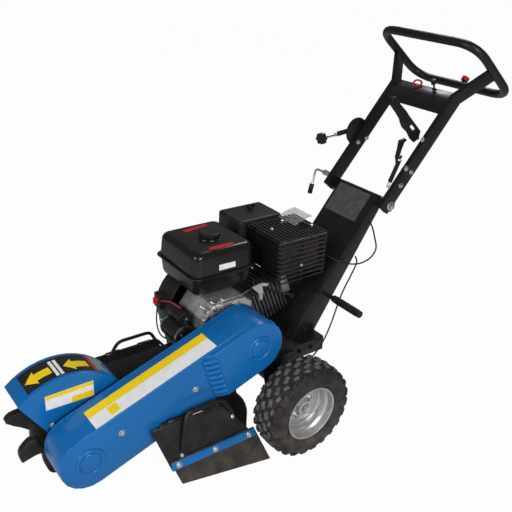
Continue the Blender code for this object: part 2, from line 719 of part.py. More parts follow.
def brake_lever():
    """Brake lever with a rubber sleeve, a bright rod and a star knob."""
    y = -POST_OUT - GAP - 0.0235
    start = Vector((QUADRANT.x, y, QUADRANT.z))
    tip = Vector((-0.402, y, 0.891))
    along = (tip - start).normalized()
    boss = disc(QUADRANT, 0.016, y - 0.008, y + 0.0130, 12)
    sleeve = rod(start, start + along * 0.078, 0.009, 10)
    shaft = rod(start + along * 0.06, tip, 0.0045, 8)
    outline = []
    for i in range(24):
        angle = math.radians(15.0 * i)
        radius = 0.021 if i % 4 in (0, 1) else 0.0170
        outline.append((radius * math.cos(angle), radius * math.sin(angle)))
    turn = along.to_track_quat("Z", "Y")
    rings = []
    for step in (-0.009, 0.012):
        rings.append([turn @ Vector((u, v, 0.0)) + tip + along * step for u, v in outline])
    fuse("brake_lever", BLACK_PLASTIC, [boss, sleeve, shaft, bridged(rings)], pivot=QUADRANT)


LEVER_PIVOT = Vector((-0.5664, 0.0, 0.948))
LEVER_OUTLINE = (
    (-0.5836, 0.939), (-0.562, 0.930), (-0.540, 0.946), (-0.520, 0.971), (-0.494, 0.990), (-0.480, 1.010),
    (-0.472, 1.031), (-0.446, 1.050), (-0.4246, 1.072), (-0.4300, 1.096), (-0.448, 1.097), (-0.4703, 1.071),
    (-0.502, 1.046), (-0.5266, 1.022), (-0.5626, 0.990), (-0.590, 0.966),
)


def engage_lever():
    """Over-centre lever that tightens the belt, pivoted on the inside of the left post, with a slot."""
    body = plate(LEVER_OUTLINE, 0.112, 0.117)
    pad_outline = ((-0.450, 1.056), (-0.4265, 1.073), (-0.431, 1.094), (-0.447, 1.095), (-0.468, 1.071))
    pad = plate(pad_outline, 0.103, 0.1125)
    pin = disc(LEVER_PIVOT, 0.007, 0.110, POST_IN - GAP, 10)
    slot = plate(((-0.560, 0.978), (-0.552, 0.971), (-0.531, 0.988), (-0.538, 0.996)), 0.09, 0.13)
    fuse("engage_lever", DARK_STEEL, [body, pad, pin], [slot], pivot=LEVER_PIVOT)


TENSION_LOW = Vector((-0.4640, 0.1195, 0.783))


def tension_rod():
    """Curved link and threaded rod beside the left post, which the engage lever pulls."""
    link = plate(
        (
            (-0.5240, 0.9480), (-0.497, 0.944), (-0.4945, 0.912), (-0.490, 0.887), (-0.500, 0.858),
            (-0.512, 0.862), (-0.507, 0.885), (-0.513, 0.910), (-0.5220, 0.934), (-0.5330, 0.940),
        ),
        0.104,
        0.1117,
    )
    along = Vector((-0.07, 0.0, 0.15)).normalized()
    low = TENSION_LOW - Vector((0.0, 0.0065, 0.0))
    sleeve = rod(low + along * 0.020, low + along * 0.098, 0.0075, 10)
    shaft = rod(low, low + along * 0.118, 0.004, 8)
    fuse("tension_rod", DARK_STEEL, [sleeve, shaft, link], pivot=low)


CLAMP = Vector((-0.4440, 0.0, 0.752))


def clamp_crank():
    """Cranked clamp screw beside the right end of the handle's pivot."""
    y0, y1 = -POST_OUT - GAP, -0.235
    corners = [(CLAMP.x, -0.170, CLAMP.z), (CLAMP.x, y1, CLAMP.z), (-0.426, y1 - 0.004, 0.660)]
    arm = bent_rod(bent_path(corners, 0.014, 3), 0.0045)
    boss = rod((CLAMP.x, y0, CLAMP.z), (CLAMP.x, -0.188, CLAMP.z), 0.0105, 10)
    grip = rod((-0.4325, y1 - 0.003, 0.692), (-0.4255, y1 - 0.004, 0.656), 0.0085, 10)
    fuse("clamp_crank", BRIGHT_STEEL, [boss, arm, grip], pivot=CLAMP)


LOCK_BAR = Vector((-0.208, 0.0, 0.449))


def lock_bar():
    """Spring-loaded lock bar through the column's left cheek, with a rubber grip."""
    y = COLUMN_HALF + GAP
    shaft = rod((LOCK_BAR.x, y, LOCK_BAR.z), (LOCK_BAR.x, 0.200, LOCK_BAR.z), 0.0075, 10)
    collar = rod((LOCK_BAR.x, y, LOCK_BAR.z), (LOCK_BAR.x, y + 0.012, LOCK_BAR.z), 0.014, 10)
    grip = rod((LOCK_BAR.x, 0.170, LOCK_BAR.z), (LOCK_BAR.x, 0.300, LOCK_BAR.z), 0.0125, 10)
    fuse("lock_bar", BLACK_PLASTIC, [shaft, collar, grip], pivot=LOCK_BAR)


def throttle_toggle():
    """Small throttle lever on a pin over the shelf of the cross plate."""
    low = Vector((-0.7150, 0.045, 1.0825))
    pin = rod(low - Vector((0.0, 0.008, 0.0)), low + Vector((0.0, 0.008, 0.0)), 0.0045, 10)
    stem = rod(low, low + Vector((0.009, 0.0, 0.023)), 0.0035, 8)
    knob = rod(low + Vector((0.008, 0.0, 0.020)), low + Vector((0.014, 0.0, 0.036)), 0.009, 8)
    fuse("throttle_toggle", BLACK_PLASTIC, [stem, pin, knob], pivot=low)


# Engine


def crankcase():
    """Crankcase with its mounting feet and its side cover, bored for the crankshaft."""
    feet = block((0.020, -0.098, DECK_TOP + GAP), (0.250, 0.030, 0.303))
    outline = ((0.050, 0.300), (0.222, 0.300), (0.236, 0.350), (0.232, 0.430), (0.195, 0.478), (0.075, 0.478))
    outline += ((0.046, 0.455), (0.046, 0.325))
    boss = disc(CRANK, 0.036, 0.045, 0.062, 16)
    bore = disc(CRANK, 0.0135, 0.020, 0.1, 16)
    fuse("crankcase", CAST_ALUMINIUM, [plate(outline, -0.105, 0.050), feet, boss], [bore])


CYLINDER_TILT = math.radians(22.0)


def along_cylinder(points):
    """Points given along the cylinder (away from the crank) and across it, as X and Z."""
    c, s = math.cos(CYLINDER_TILT), math.sin(CYLINDER_TILT)
    return [(0.0452 - a * c - b * s, 0.385 + a * s - b * c) for a, b in points]


def cylinder():
    """Finned cylinder and head in one casting, leaning back from the crankcase."""
    outline = ((0.0185, -0.045), (0.166, -0.045), (0.166, 0.045), (0.024, 0.045))
    core = plate(along_cylinder(outline), -0.085, 0.015)
    fins = []
    for i in range(10):
        start = 0.028 + 0.0138 * i
        ring = ((start, -0.058), (start + 0.004, -0.058), (start + 0.004, 0.062), (start, 0.062))
        fins.append(plate(along_cylinder(ring), -0.100, 0.032))
    root = plate(((0.0457, 0.335), (0.0457, 0.440), (0.020, 0.448), (0.020, 0.345)), -0.080, 0.010)
    fuse("cylinder", CAST_ALUMINIUM, [core, root, *fins])


def rocker_cover():
    outline = along_cylinder(((0.1663, -0.044), (0.198, -0.038), (0.198, 0.036), (0.1663, 0.044)))
    fuse("rocker_cover", SILVER_PAINT, [plate(outline, -0.080, 0.010)])


def blower_housing():
    """Fan shroud on the right side, open towards the crankcase, with the engine's switch box on its front."""
    centre = (CRANK.x, CRANK.z)
    outline = [*arc(centre, 0.135, -49.5, 56.0, 10), (-0.020, 0.507), (-0.060, 0.480), (-0.060, 0.345)]
    outline += [(0.030, 0.2923)]
    inner = [*arc(centre, 0.1325, -46.0, 54.0, 10), (-0.018, 0.5045), (-0.0575, 0.478), (-0.0575, 0.3465)]
    inner += [(0.0315, 0.2948)]
    skin = plate(outline, -0.195, -0.1055)
    switch_box = block((0.2605, -0.178, 0.400), (0.286, -0.138, 0.452))
    fuse("blower_housing", BLACK_PLASTIC, [skin, switch_box], [plate(inner, -0.1925, -0.095)])


def recoil_cover():
    profile = ((0.004, -0.1953), (0.098, -0.1953), (0.098, -0.225), (0.078, -0.243), (0.004, -0.243))
    shape = turned(profile, (CRANK.x, 0.0, CRANK.z), 24)
    core = disc(CRANK, 0.006, -0.242, -0.1963, 8)
    fuse("recoil_cover", BLACK_PLASTIC, [shape, core])


def recoil_handle():
    low = Vector((0.105, -0.215, 0.4955))
    grip = rod(low + Vector((-0.024, 0.0, 0.008)), low + Vector((0.024, 0.0, 0.008)), 0.007, 8)
    stem = rod(low, low + Vector((0.0, 0.0, 0.008)), 0.005, 8)
    fuse("recoil_handle", BLACK_PLASTIC, [grip, stem], pivot=low)


TANK_MIDDLE = (0.135, -0.105)
TANK_SKIN = (
    (0.512, 0.170, 0.190, 0.030), (0.528, 0.208, 0.228, 0.034), (0.5635, 0.220, 0.240, 0.036),
    (0.5640, 0.234, 0.254, 0.043), (0.5690, 0.234, 0.254, 0.043), (0.5695, 0.220, 0.240, 0.036),
    (0.625, 0.212, 0.232, 0.038), (0.644, 0.186, 0.206, 0.034), (0.6475, 0.160, 0.180, 0.026),
)
TANK_ROOM = (
    (0.515, 0.166, 0.186, 0.028), (0.530, 0.203, 0.223, 0.032), (0.624, 0.207, 0.227, 0.036),
    (0.642, 0.182, 0.202, 0.032), (0.645, 0.156, 0.176, 0.024),
)
CAP = Vector((0.120, -0.100, 0.6481))


def level_rings(middle, sections):
    """Round-cornered rectangles at their heights, each given as (height, length, width, corner)."""
    rings = []
    for z, length, width, corner in sections:
        rings.append([Vector((u, v, z)) for u, v in rounded(length, width, corner, 3, middle)])
    return rings


def fuel_tank():
    """Two pressings joined at a flange, hollow, open at the filler under the cap."""
    skin = bridged(level_rings(TANK_MIDDLE, TANK_SKIN))
    room = bridged(level_rings(TANK_MIDDLE, TANK_ROOM))
    filler = rod((CAP.x, CAP.y, 0.635), (CAP.x, CAP.y, 0.660), 0.022, 12)
    stand = block((0.075, -0.070, 0.4785), (0.190, -0.050, 0.5125))
    fuse("fuel_tank", BLACK_PAINT, [skin, stand], [room, filler])


def fuel_cap():
    """Screw cap, its neck down in the filler."""
    top = rod(CAP, CAP + Vector((0.0, 0.0, 0.017)), 0.036, 20)
    neck = rod(CAP - Vector((0.0, 0.0, 0.004)), CAP + Vector((0.0, 0.0, 0.002)), 0.0205, 12)
    fuse("fuel_cap", BLACK_PLASTIC, [top, neck], pivot=CAP)


AIR_MIDDLE = (-0.095, -0.1725)
AIR_TRAY = ((0.5625, 0.158, 0.118, 0.016), (0.598, 0.166, 0.126, 0.016))
AIR_SKIN = (
    (0.5983, 0.182, 0.138, 0.018), (0.650, 0.178, 0.136, 0.016),
    (0.6635, 0.168, 0.126, 0.014), (0.6675, 0.156, 0.114, 0.010),
)
AIR_ROOM = ((0.580, 0.177, 0.133, 0.016), (0.648, 0.173, 0.131, 0.014), (0.6625, 0.160, 0.118, 0.010))


def air_cleaner():
    """Tray with its elbow to the carburetor, and a cover held by a wing nut."""
    tray = bridged(level_rings(AIR_MIDDLE, AIR_TRAY))
    elbow = block((-0.105, -0.150, 0.5450), (-0.065, -0.118, 0.570))
    fuse("air_cleaner_base", BLACK_PLASTIC, [tray, elbow])
    skin = bridged(level_rings(AIR_MIDDLE, AIR_SKIN))
    fuse("air_cleaner_cover", BLACK_PLASTIC, [skin], [bridged(level_rings(AIR_MIDDLE, AIR_ROOM))])
    low = Vector((-0.108, -0.190, 0.6678))
    boss = rod(low, low + Vector((0.0, 0.0, 0.012)), 0.007, 8)
    wings = block(low + Vector((-0.018, -0.0022, 0.004)), low + Vector((0.018, 0.0022, 0.019)))
    fuse("wing_nut", BRIGHT_STEEL, [boss, wings], pivot=low)


def carburetor():
    body = block((-0.115, -0.158, 0.505), (-0.055, -0.112, 0.5447))
    bowl = rod((-0.085, -0.135, 0.484), (-0.085, -0.135, 0.507), 0.017, 10)
    fuse("carburetor", CAST_ALUMINIUM, [body, bowl])


MUFFLER_LOW = Vector((-0.238, -0.101, 0.505))
MUFFLER_HIGH = Vector((-0.028, 0.085, 0.661))
GUARD_WALL = 0.0055


def muffler_guard():
    """Guard round the muffler: a box open below, with raised slats on its sides and its top."""
    low, high = MUFFLER_LOW, MUFFLER_HIGH
    rise = Vector((0.0025, 0.0025, 0.0025))
    skin = block((low.x + rise.x, low.y + rise.y, low.z), high - rise)
    room = block(low + Vector((GUARD_WALL, GUARD_WALL, -0.05)), high - Vector((1, 1, 1)) * GUARD_WALL)
    shell = fuse_plain(skin, room)
    slats = []
    for i in range(9):
        z = low.z + 0.004 + 0.0162 * i
        band = block((low.x, low.y, z), (high.x, high.y, z + 0.006))
        inside = block(low + Vector((0.004, 0.004, -0.05)), high + Vector((-0.004, -0.004, 0.05)))
        slats.append(fuse_plain(band, inside))
    for i in range(9):
        y = low.y + 0.012 + 0.0190 * i
        slats.append(block((low.x + 0.010, y, high.z - 0.004), (high.x - 0.010, y + 0.007, high.z)))
    fuse("muffler_guard", BLACK_PAINT, [shell, *slats])


def muffler():
    """Muffler can inside its guard, with a stub towards the cylinder head."""
    can = block(MUFFLER_LOW + Vector((0.020, 0.018, 0.016)), MUFFLER_HIGH - Vector((0.020, 0.018, 0.020)))
    stub = rod((-0.095, -0.030, 0.508), (-0.095, -0.030, 0.525), 0.014, 10)
    fuse("muffler", DARK_STEEL, [can, stub])


def heat_shield():
    """Bright perforated shield over the rear of the muffler guard."""
    outline = (
        (-0.165, 0.6615), (-0.205, 0.6745), (-0.236, 0.6805),
        (-0.2363, 0.6785), (-0.2055, 0.6722), (-0.168, 0.6613),
    )
    fuse("heat_shield", BRIGHT_STEEL, [plate(outline, -0.098, -0.005)])


def starter_motor():
    y0, y1 = -0.096, 0.015
    body = rod((0.2755, y0, 0.3705), (0.2755, y1, 0.3705), 0.036, 14)
    solenoid = rod((0.2640, y0 + 0.01, 0.4255), (0.2640, y1 - 0.02, 0.4255), 0.024, 12)
    fuse("starter_motor", BLACK_PLASTIC, [body, solenoid])


def engine_switch():
    """Red key knob on the switch box."""
    low = Vector((0.2863, -0.158, 0.430))
    knob = rod(low, low + Vector((0.006, 0.0, 0.0)), 0.0125, 12)
    grip = block(low + Vector((0.005, -0.004, -0.011)), low + Vector((0.013, 0.004, 0.011)))
    fuse("engine_switch", RED_PLASTIC, [knob, grip], pivot=low)


THROTTLE_ROUTE = (
    (-0.4090, 0.1055, 0.6640), (-0.4200, 0.110, 0.6400), (-0.4328, 0.112, 0.6068), (-0.4457, 0.115, 0.5593),
    (-0.4227, 0.118, 0.5306), (-0.3755, 0.118, 0.5186), (-0.3283, 0.116, 0.5256), (-0.2950, 0.112, 0.5380),
    (-0.2640, 0.090, 0.5500), (-0.2560, 0.040, 0.5520), (-0.2550, -0.040, 0.5450), (-0.2520, -0.095, 0.5380),
    (-0.2330, -0.122, 0.5320), (-0.1900, -0.132, 0.5280), (-0.1500, -0.134, 0.5260), (-0.1185, -0.134, 0.5250),
)
BRAKE_ROUTE = (
    (-0.3559, 0.1055, 0.5449), (-0.3490, 0.122, 0.5280), (-0.3240, 0.124, 0.4820), (-0.2925, 0.121, 0.4148),
    (-0.2353, 0.140, 0.3165), (-0.1905, 0.155, 0.2695), (-0.1400, 0.167, 0.2380), (-0.0900, 0.170, 0.2150),
    (-0.0500, 0.168, 0.1950), (-0.0200, 0.164, 0.1800),
)


def cables():
    """The throttle's cable from the column to the carburetor, and the brake's from the column to the axle."""
    for name, route in (("throttle_cable", THROTTLE_ROUTE), ("brake_cable", BRAKE_ROUTE)):
        cable = tube(name, smooth_path(route, 4), 0.0028)
        cable.data.materials.append(finish_material(CABLE_SHEATH))
        cable.parent = machine


clear_scene()
machine = lean_frame()
for side_name, side_sign in (("left", 1), ("right", -1)):
    wheel(side_name, side_sign)
    bearing(side_name, side_sign)
    guard_bar(side_name, side_sign)
    side_guard(side_name, side_sign)
    handle_post(side_name, side_sign)
axle()
deck_frame()
cutter_boom()
cutter_hood()
rear_deflector()
belt_cover()
belt_back_plate()
drive_pulley()
cutter_pulley()
drive_belt()
idler()
cutter_wheel()
cutter_shaft()
column()
handlebar()
cross_plate()
brake_quadrant()
brake_lever()
engage_lever()
tension_rod()
clamp_crank()
lock_bar()
stop_button()
throttle_toggle()
crankcase()
cylinder()
rocker_cover()
blower_housing()
recoil_cover()
recoil_handle()
fuel_tank()
fuel_cap()
air_cleaner()
carburetor()
muffler_guard()
muffler()
heat_shield()
starter_motor()
engine_switch()
cables()
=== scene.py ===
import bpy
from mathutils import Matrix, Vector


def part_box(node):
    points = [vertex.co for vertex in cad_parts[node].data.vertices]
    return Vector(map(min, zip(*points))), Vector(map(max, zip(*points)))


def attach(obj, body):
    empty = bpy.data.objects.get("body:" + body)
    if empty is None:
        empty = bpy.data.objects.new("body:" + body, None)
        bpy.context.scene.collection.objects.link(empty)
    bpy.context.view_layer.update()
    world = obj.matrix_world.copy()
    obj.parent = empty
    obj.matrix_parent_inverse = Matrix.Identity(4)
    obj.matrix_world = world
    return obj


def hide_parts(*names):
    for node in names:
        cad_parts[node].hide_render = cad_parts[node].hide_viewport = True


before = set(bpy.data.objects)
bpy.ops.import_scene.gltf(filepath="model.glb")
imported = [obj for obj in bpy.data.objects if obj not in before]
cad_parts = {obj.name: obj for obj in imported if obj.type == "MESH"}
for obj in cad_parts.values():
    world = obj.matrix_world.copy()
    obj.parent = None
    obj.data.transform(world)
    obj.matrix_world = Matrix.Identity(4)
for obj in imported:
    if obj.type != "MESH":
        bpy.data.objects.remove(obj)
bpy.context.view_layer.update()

import math

import bpy
from mathutils import Matrix, Vector

# Studio: a wide pale floor with soft overhead light all round. Only the floor's and the sky's
# own colour reaches white for the camera, so the lamps stay low and the paint keeps its depth.

floor_size = 90.0
camera_place = (1.34725, 1.65951, 1.52791)
camera_turn = [math.radians(a) for a in (65.8993, -4.3328, 143.8206)]


def put_down():
    if bpy.context.mode != "OBJECT":
        bpy.ops.object.mode_set(mode="OBJECT")
    bpy.ops.object.select_all(action="DESELECT")


def take_up(piece, mode="EDIT"):
    put_down()
    piece.select_set(True)
    bpy.context.view_layer.objects.active = piece
    bpy.ops.object.mode_set(mode=mode)


put_down()
bpy.ops.mesh.primitive_grid_add(x_subdivisions=4, y_subdivisions=4, size=floor_size, location=(0, 0, 0))
studio_floor = bpy.context.active_object
studio_floor.name = "studio_floor"
floor_paint = bpy.data.materials.new("studio_floor")
floor_paint.use_nodes = True
floor_nodes = floor_paint.node_tree.nodes
floor_links = floor_paint.node_tree.links
floor_shader = floor_nodes["Principled BSDF"]
floor_shader.inputs["Base Color"].default_value = (0.72, 0.72, 0.72, 1.0)
floor_shader.inputs["Roughness"].default_value = 0.9
floor_shader.inputs["Specular IOR Level"].default_value = 0.1
floor_glow = floor_nodes.new("ShaderNodeEmission")
floor_glow.inputs["Color"].default_value = (1.0, 1.0, 1.0, 1.0)
floor_mix = floor_nodes.new("ShaderNodeMixShader")
floor_path = floor_nodes.new("ShaderNodeLightPath")
floor_share = floor_nodes.new("ShaderNodeMath")
floor_share.operation = "MULTIPLY"
floor_share.inputs[1].default_value = 0.97
floor_links.new(floor_path.outputs["Is Camera Ray"], floor_share.inputs[0])
floor_links.new(floor_share.outputs[0], floor_mix.inputs["Fac"])
floor_links.new(floor_shader.outputs[0], floor_mix.inputs[1])
floor_links.new(floor_glow.outputs[0], floor_mix.inputs[2])
floor_links.new(floor_mix.outputs[0], floor_nodes["Material Output"].inputs["Surface"])
studio_floor.data.materials.append(floor_paint)

world = bpy.data.worlds.new("studio")
bpy.context.scene.world = world
world.use_nodes = True
sky_nodes, sky_links = world.node_tree.nodes, world.node_tree.links
sky = sky_nodes["Background"]
sky.inputs["Color"].default_value = (0.93, 0.96, 1.0, 1.0)
sky.inputs["Strength"].default_value = 0.2
white_sky = sky_nodes.new("ShaderNodeBackground")
white_sky.inputs["Color"].default_value = (1.0, 1.0, 1.0, 1.0)
sky_mix = sky_nodes.new("ShaderNodeMixShader")
sky_path = sky_nodes.new("ShaderNodeLightPath")
sky_links.new(sky_path.outputs["Is Camera Ray"], sky_mix.inputs["Fac"])
sky_links.new(sky.outputs[0], sky_mix.inputs[1])
sky_links.new(white_sky.outputs[0], sky_mix.inputs[2])
sky_links.new(sky_mix.outputs[0], sky_nodes["World Output"].inputs["Surface"])

for lamp_name, lamp_place, lamp_power, lamp_size in (
    ("key_lamp", (0.9, 3.9, 2.3), 128.0, 1.7),
    ("fill_lamp", (3.6, 0.6, 1.9), 52.0, 1.6),
    ("rim_lamp", (-2.2, -1.4, 3.4), 44.0, 1.0),
):
    put_down()
    aim = (Vector((0.0, 0.0, 0.5)) - Vector(lamp_place)).to_track_quat("-Z", "Y").to_euler()
    bpy.ops.object.light_add(type="AREA", location=lamp_place, rotation=aim)
    lamp = bpy.context.active_object
    lamp.name = lamp_name
    lamp.data.energy = lamp_power
    lamp.data.size = lamp_size

put_down()
bpy.ops.object.camera_add(location=camera_place, rotation=camera_turn)
camera = bpy.context.active_object
camera.data.lens = 49.15
camera.data.sensor_width = 36.0
bpy.context.scene.camera = camera
bpy.context.scene.view_settings.view_transform = "Standard"

# Wheels: flotation tyres with staggered rubber blocks on pressed and lacquered silver rims.
# Each is moulded or turned about the axle, which leans with the machine by two degrees.

axle_low, axle_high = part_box("axle")
axle_middle = (axle_low + axle_high) / 2
axle_height = 0.165
lean = math.radians(2.0)
stance = Matrix.Translation(axle_middle) @ Matrix.Rotation(lean, 4, "Y")
stance = stance @ Matrix.Translation((0.0, 0.0, -axle_height))
slot_of = {}


def finish(
    name, slot, colour, shade, rough, metallic=0.0, cloud=9.0, grain=700.0, relief=0.15, depth=0.0004,
    fleck=None, fleck_share=0.36, dust=0.0, coat=0.0, sheen=0.22, crown=None,
):
    """Colour that drifts to a second shade, uneven gloss, a fine grain, worn flecks and settled dust.

    The crown is (middle, radius, colour): what lies further than that from an axle is made paler.
    """
    made = bpy.data.materials.new(name)
    slot_of[made.name] = slot
    made.use_nodes = True
    nodes, links = made.node_tree.nodes, made.node_tree.links
    shader = nodes["Principled BSDF"]
    place = nodes.new("ShaderNodeTexCoord").outputs["Object"]

    def noise(scale, detail):
        made_noise = nodes.new("ShaderNodeTexNoise")
        made_noise.inputs["Scale"].default_value = scale
        made_noise.inputs["Detail"].default_value = detail
        links.new(place, made_noise.inputs["Vector"])
        return made_noise.outputs["Fac"]

    def ranged(value, low, high, to_low, to_high):
        made_range = nodes.new("ShaderNodeMapRange")
        made_range.inputs["From Min"].default_value = low
        made_range.inputs["From Max"].default_value = high
        made_range.inputs["To Min"].default_value = to_low
        made_range.inputs["To Max"].default_value = to_high
        links.new(value, made_range.inputs["Value"])
        return made_range.outputs["Result"]

    def mixed(share, first, second):
        made_mix = nodes.new("ShaderNodeMix")
        made_mix.data_type = "RGBA"
        links.new(share, made_mix.inputs["Factor"])
        for socket, value in zip((made_mix.inputs["A"], made_mix.inputs["B"]), (first, second)):
            if isinstance(value, tuple):
                socket.default_value = (*value, 1.0)
            else:
                links.new(value, socket)
        return made_mix.outputs["Result"]

    def product(first, second):
        made_product = nodes.new("ShaderNodeMath")
        made_product.operation = "MULTIPLY"
        links.new(first, made_product.inputs[0])
        links.new(second, made_product.inputs[1])
        return made_product.outputs[0]

    base = mixed(ranged(noise(cloud, 5.0), 0.35, 0.68, 0.0, 1.0), colour, shade)
    if fleck:
        speck = ranged(noise(95.0, 9.0), fleck_share, fleck_share - 0.03, 0.0, 0.85)
        base = mixed(speck, base, fleck)
    if dust:
        height = nodes.new("ShaderNodeSeparateXYZ")
        links.new(place, height.inputs[0])
        low_down = ranged(height.outputs["Z"], 0.0, 0.34, dust, 0.0)
        patchy = ranged(noise(26.0, 8.0), 0.4, 0.66, 0.1, 1.0)
        base = mixed(product(low_down, patchy), base, (0.2, 0.165, 0.125))
    if crown:
        middle, radius, pale = crown
        flat = nodes.new("ShaderNodeVectorMath")
        flat.operation = "MULTIPLY_ADD"
        flat.inputs[1].default_value = (1.0, 0.0, 1.0)
        flat.inputs[2].default_value = (-middle.x, 0.0, -middle.z)
        links.new(place, flat.inputs[0])
        reach = nodes.new("ShaderNodeVectorMath")
        reach.operation = "LENGTH"
        links.new(flat.outputs["Vector"], reach.inputs[0])
        outer = ranged(reach.outputs["Value"], radius, radius + 0.003, 0.0, 1.0)
        patchy = ranged(noise(60.0, 6.0), 0.3, 0.62, 0.25, 1.0)
        base = mixed(product(outer, patchy), base, pale)
    links.new(base, shader.inputs["Base Color"])
    links.new(ranged(noise(cloud * 3.7, 7.0), 0.32, 0.7, *rough), shader.inputs["Roughness"])
    shader.inputs["Metallic"].default_value = metallic
    shader.inputs["Specular IOR Level"].default_value = sheen
    shader.inputs["Coat Weight"].default_value = coat
    if coat:
        shader.inputs["Coat Roughness"].default_value = 0.12
    bump = nodes.new("ShaderNodeBump")
    bump.inputs["Strength"].default_value = relief
    bump.inputs["Distance"].default_value = depth
    links.new(noise(grain, 3.0), bump.inputs["Height"])
    links.new(bump.outputs[0], shader.inputs["Normal"])
    return made


def smoothed(degrees=32.0):
    """What is selected is shaded smooth but for the edges sharper than this."""
    bpy.ops.object.shade_smooth_by_angle(angle=math.radians(degrees))


def linked(name, data):
    piece = bpy.data.objects.new(name, data)
    bpy.context.scene.collection.objects.link(piece)
    return piece


def pick_all():
    bpy.ops.mesh.select_all(action="SELECT")


def leave_edit():
    bpy.ops.object.mode_set(mode="OBJECT")


def settled():
    """The active piece's place, turn and size put into its mesh."""
    bpy.ops.object.transform_apply(location=True, rotation=True, scale=True)


def cut_edges(width, segments):
    """A bevel on the edges that are selected."""
    bpy.ops.mesh.bevel(offset=width, segments=segments, affect="EDGES")


def drawn(points):
    """A line laid down point by point."""
    put_down()
    bpy.ops.mesh.primitive_plane_add(size=0.01, location=points[0])
    piece = bpy.context.active_object
    take_up(piece)
    bpy.ops.mesh.select_mode(type="VERT")
    pick_all()
    bpy.ops.mesh.merge(type="CENTER")
    here = Vector(points[0])
    for point in points[1:]:
        bpy.ops.mesh.extrude_region_move(TRANSFORM_OT_translate={"value": Vector(point) - here})
        here = Vector(point)
    pick_all()
    return piece


def closed_up(piece):
    """Doubles merged, faces turned outwards, and the piece's place put into its mesh."""
    pick_all()
    bpy.ops.mesh.remove_doubles(threshold=0.00001)
    bpy.ops.mesh.normals_make_consistent(inside=False)
    leave_edit()
    settled()
    return piece


def turned(profile, centre, steps, axis=(0.0, 1.0, 0.0), sweep=2 * math.pi):
    """A profile of (radius, along) points spun about an axis through the centre."""
    axis, centre = Vector(axis).normalized(), Vector(centre)
    up = Vector((0.0, 0.0, 1.0)) if abs(axis.z) < 0.9 else Vector((1.0, 0.0, 0.0))
    out = axis.cross(up).cross(axis).normalized()
    piece = drawn([centre + out * r + axis * a for r, a in profile])
    bpy.ops.mesh.spin(steps=steps, angle=sweep, center=centre, axis=axis)
    return closed_up(piece)


def broken_edges(piece, width, segments=2):
    """A bevel on every sharp edge, applied, and smooth shading between them."""
    take_up(piece, "OBJECT")
    edge = piece.modifiers.new("edge", "BEVEL")
    edge.width = width
    edge.segments = segments
    edge.limit_method = "ANGLE"
    edge.angle_limit = math.radians(38.0)
    edge.use_clamp_overlap = False
    edge.harden_normals = False
    bpy.ops.object.modifier_apply(modifier="edge")
    smoothed()
    return piece


def fitted(piece, name, paint, body="chassis", stands_for=(), slot="", level=True):
    """Named, painted, leaned with the machine and fixed to its body; a list is joined first.

    The slot is worked out as the paint's own unless another is named, and nothing uses it.
    """
    piece = joined(piece) if isinstance(piece, list) else piece
    slot = slot or slot_of[paint.name]
    put_down()
    piece.name = piece.data.name = name
    piece.data.materials.clear()
    piece.data.materials.append(paint)
    if level:
        piece.data.transform(stance)
    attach(piece, body)
    if stands_for:
        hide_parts(*stands_for)
    return piece


def copies(piece, places):
    """The piece copied to each place, all joined into one mesh; the first one is used up."""
    made = []
    for place in places:
        twin = piece.copy()
        twin.data = piece.data.copy()
        twin.data.transform(place)
        bpy.context.scene.collection.objects.link(twin)
        made.append(twin)
    bpy.data.objects.remove(piece, do_unlink=True)
    return joined(made)


def joined(parts):
    put_down()
    for part in parts:
        part.select_set(True)
    bpy.context.view_layer.objects.active = parts[0]
    if len(parts) > 1:
        bpy.ops.object.join()
    return bpy.context.view_layer.objects.active


def block(low, high, edge=0.0, segments=2):
    """A cube pulled to two corners, its edges broken."""
    put_down()
    low, high = Vector(low), Vector(high)
    bpy.ops.mesh.primitive_cube_add(size=1.0, location=(low + high) / 2)
    piece = bpy.context.active_object
    take_up(piece)
    pick_all()
    bpy.ops.transform.resize(value=high - low, center_override=(low + high) / 2)
    if edge:
        cut_edges(edge, segments)
    return closed_up(piece)


def rod(start, end, radius, sides=20, edge=0.0):
    """A cylinder between two points with its end edges broken."""
    put_down()
    start, end = Vector(start), Vector(end)
    turn = (end - start).to_track_quat("Z", "Y").to_euler()
    bpy.ops.mesh.primitive_cylinder_add(
        vertices=sides, radius=radius, depth=(end - start).length, location=(start + end) / 2, rotation=turn
    )
    piece = bpy.context.active_object
    settled()
    if edge:
        return broken_edges(piece, edge)
    smoothed()
    return piece


tyre_rubber = finish(
    "tyre_rubber", "tyre_rubber", (0.013, 0.012, 0.012), (0.028, 0.026, 0.024), (0.5, 0.8), cloud=22.0,
    grain=950.0, relief=0.35, dust=0.4, crown=(axle_middle, 0.1575, (0.135, 0.128, 0.12)),
)
silver_lacquer = finish(
    "silver_lacquer", "silver_paint", (0.6, 0.6, 0.61), (0.5, 0.5, 0.51), (0.26, 0.46), metallic=0.75,
    cloud=14.0, grain=1400.0, relief=0.12, fleck=(0.3, 0.28, 0.26), fleck_share=0.33, dust=0.35,
)
zinc = finish(
    "zinc", "bright_steel", (0.66, 0.67, 0.68), (0.5, 0.51, 0.53), (0.22, 0.44), metallic=1.0, cloud=60.0,
    grain=1800.0, relief=0.1,
)

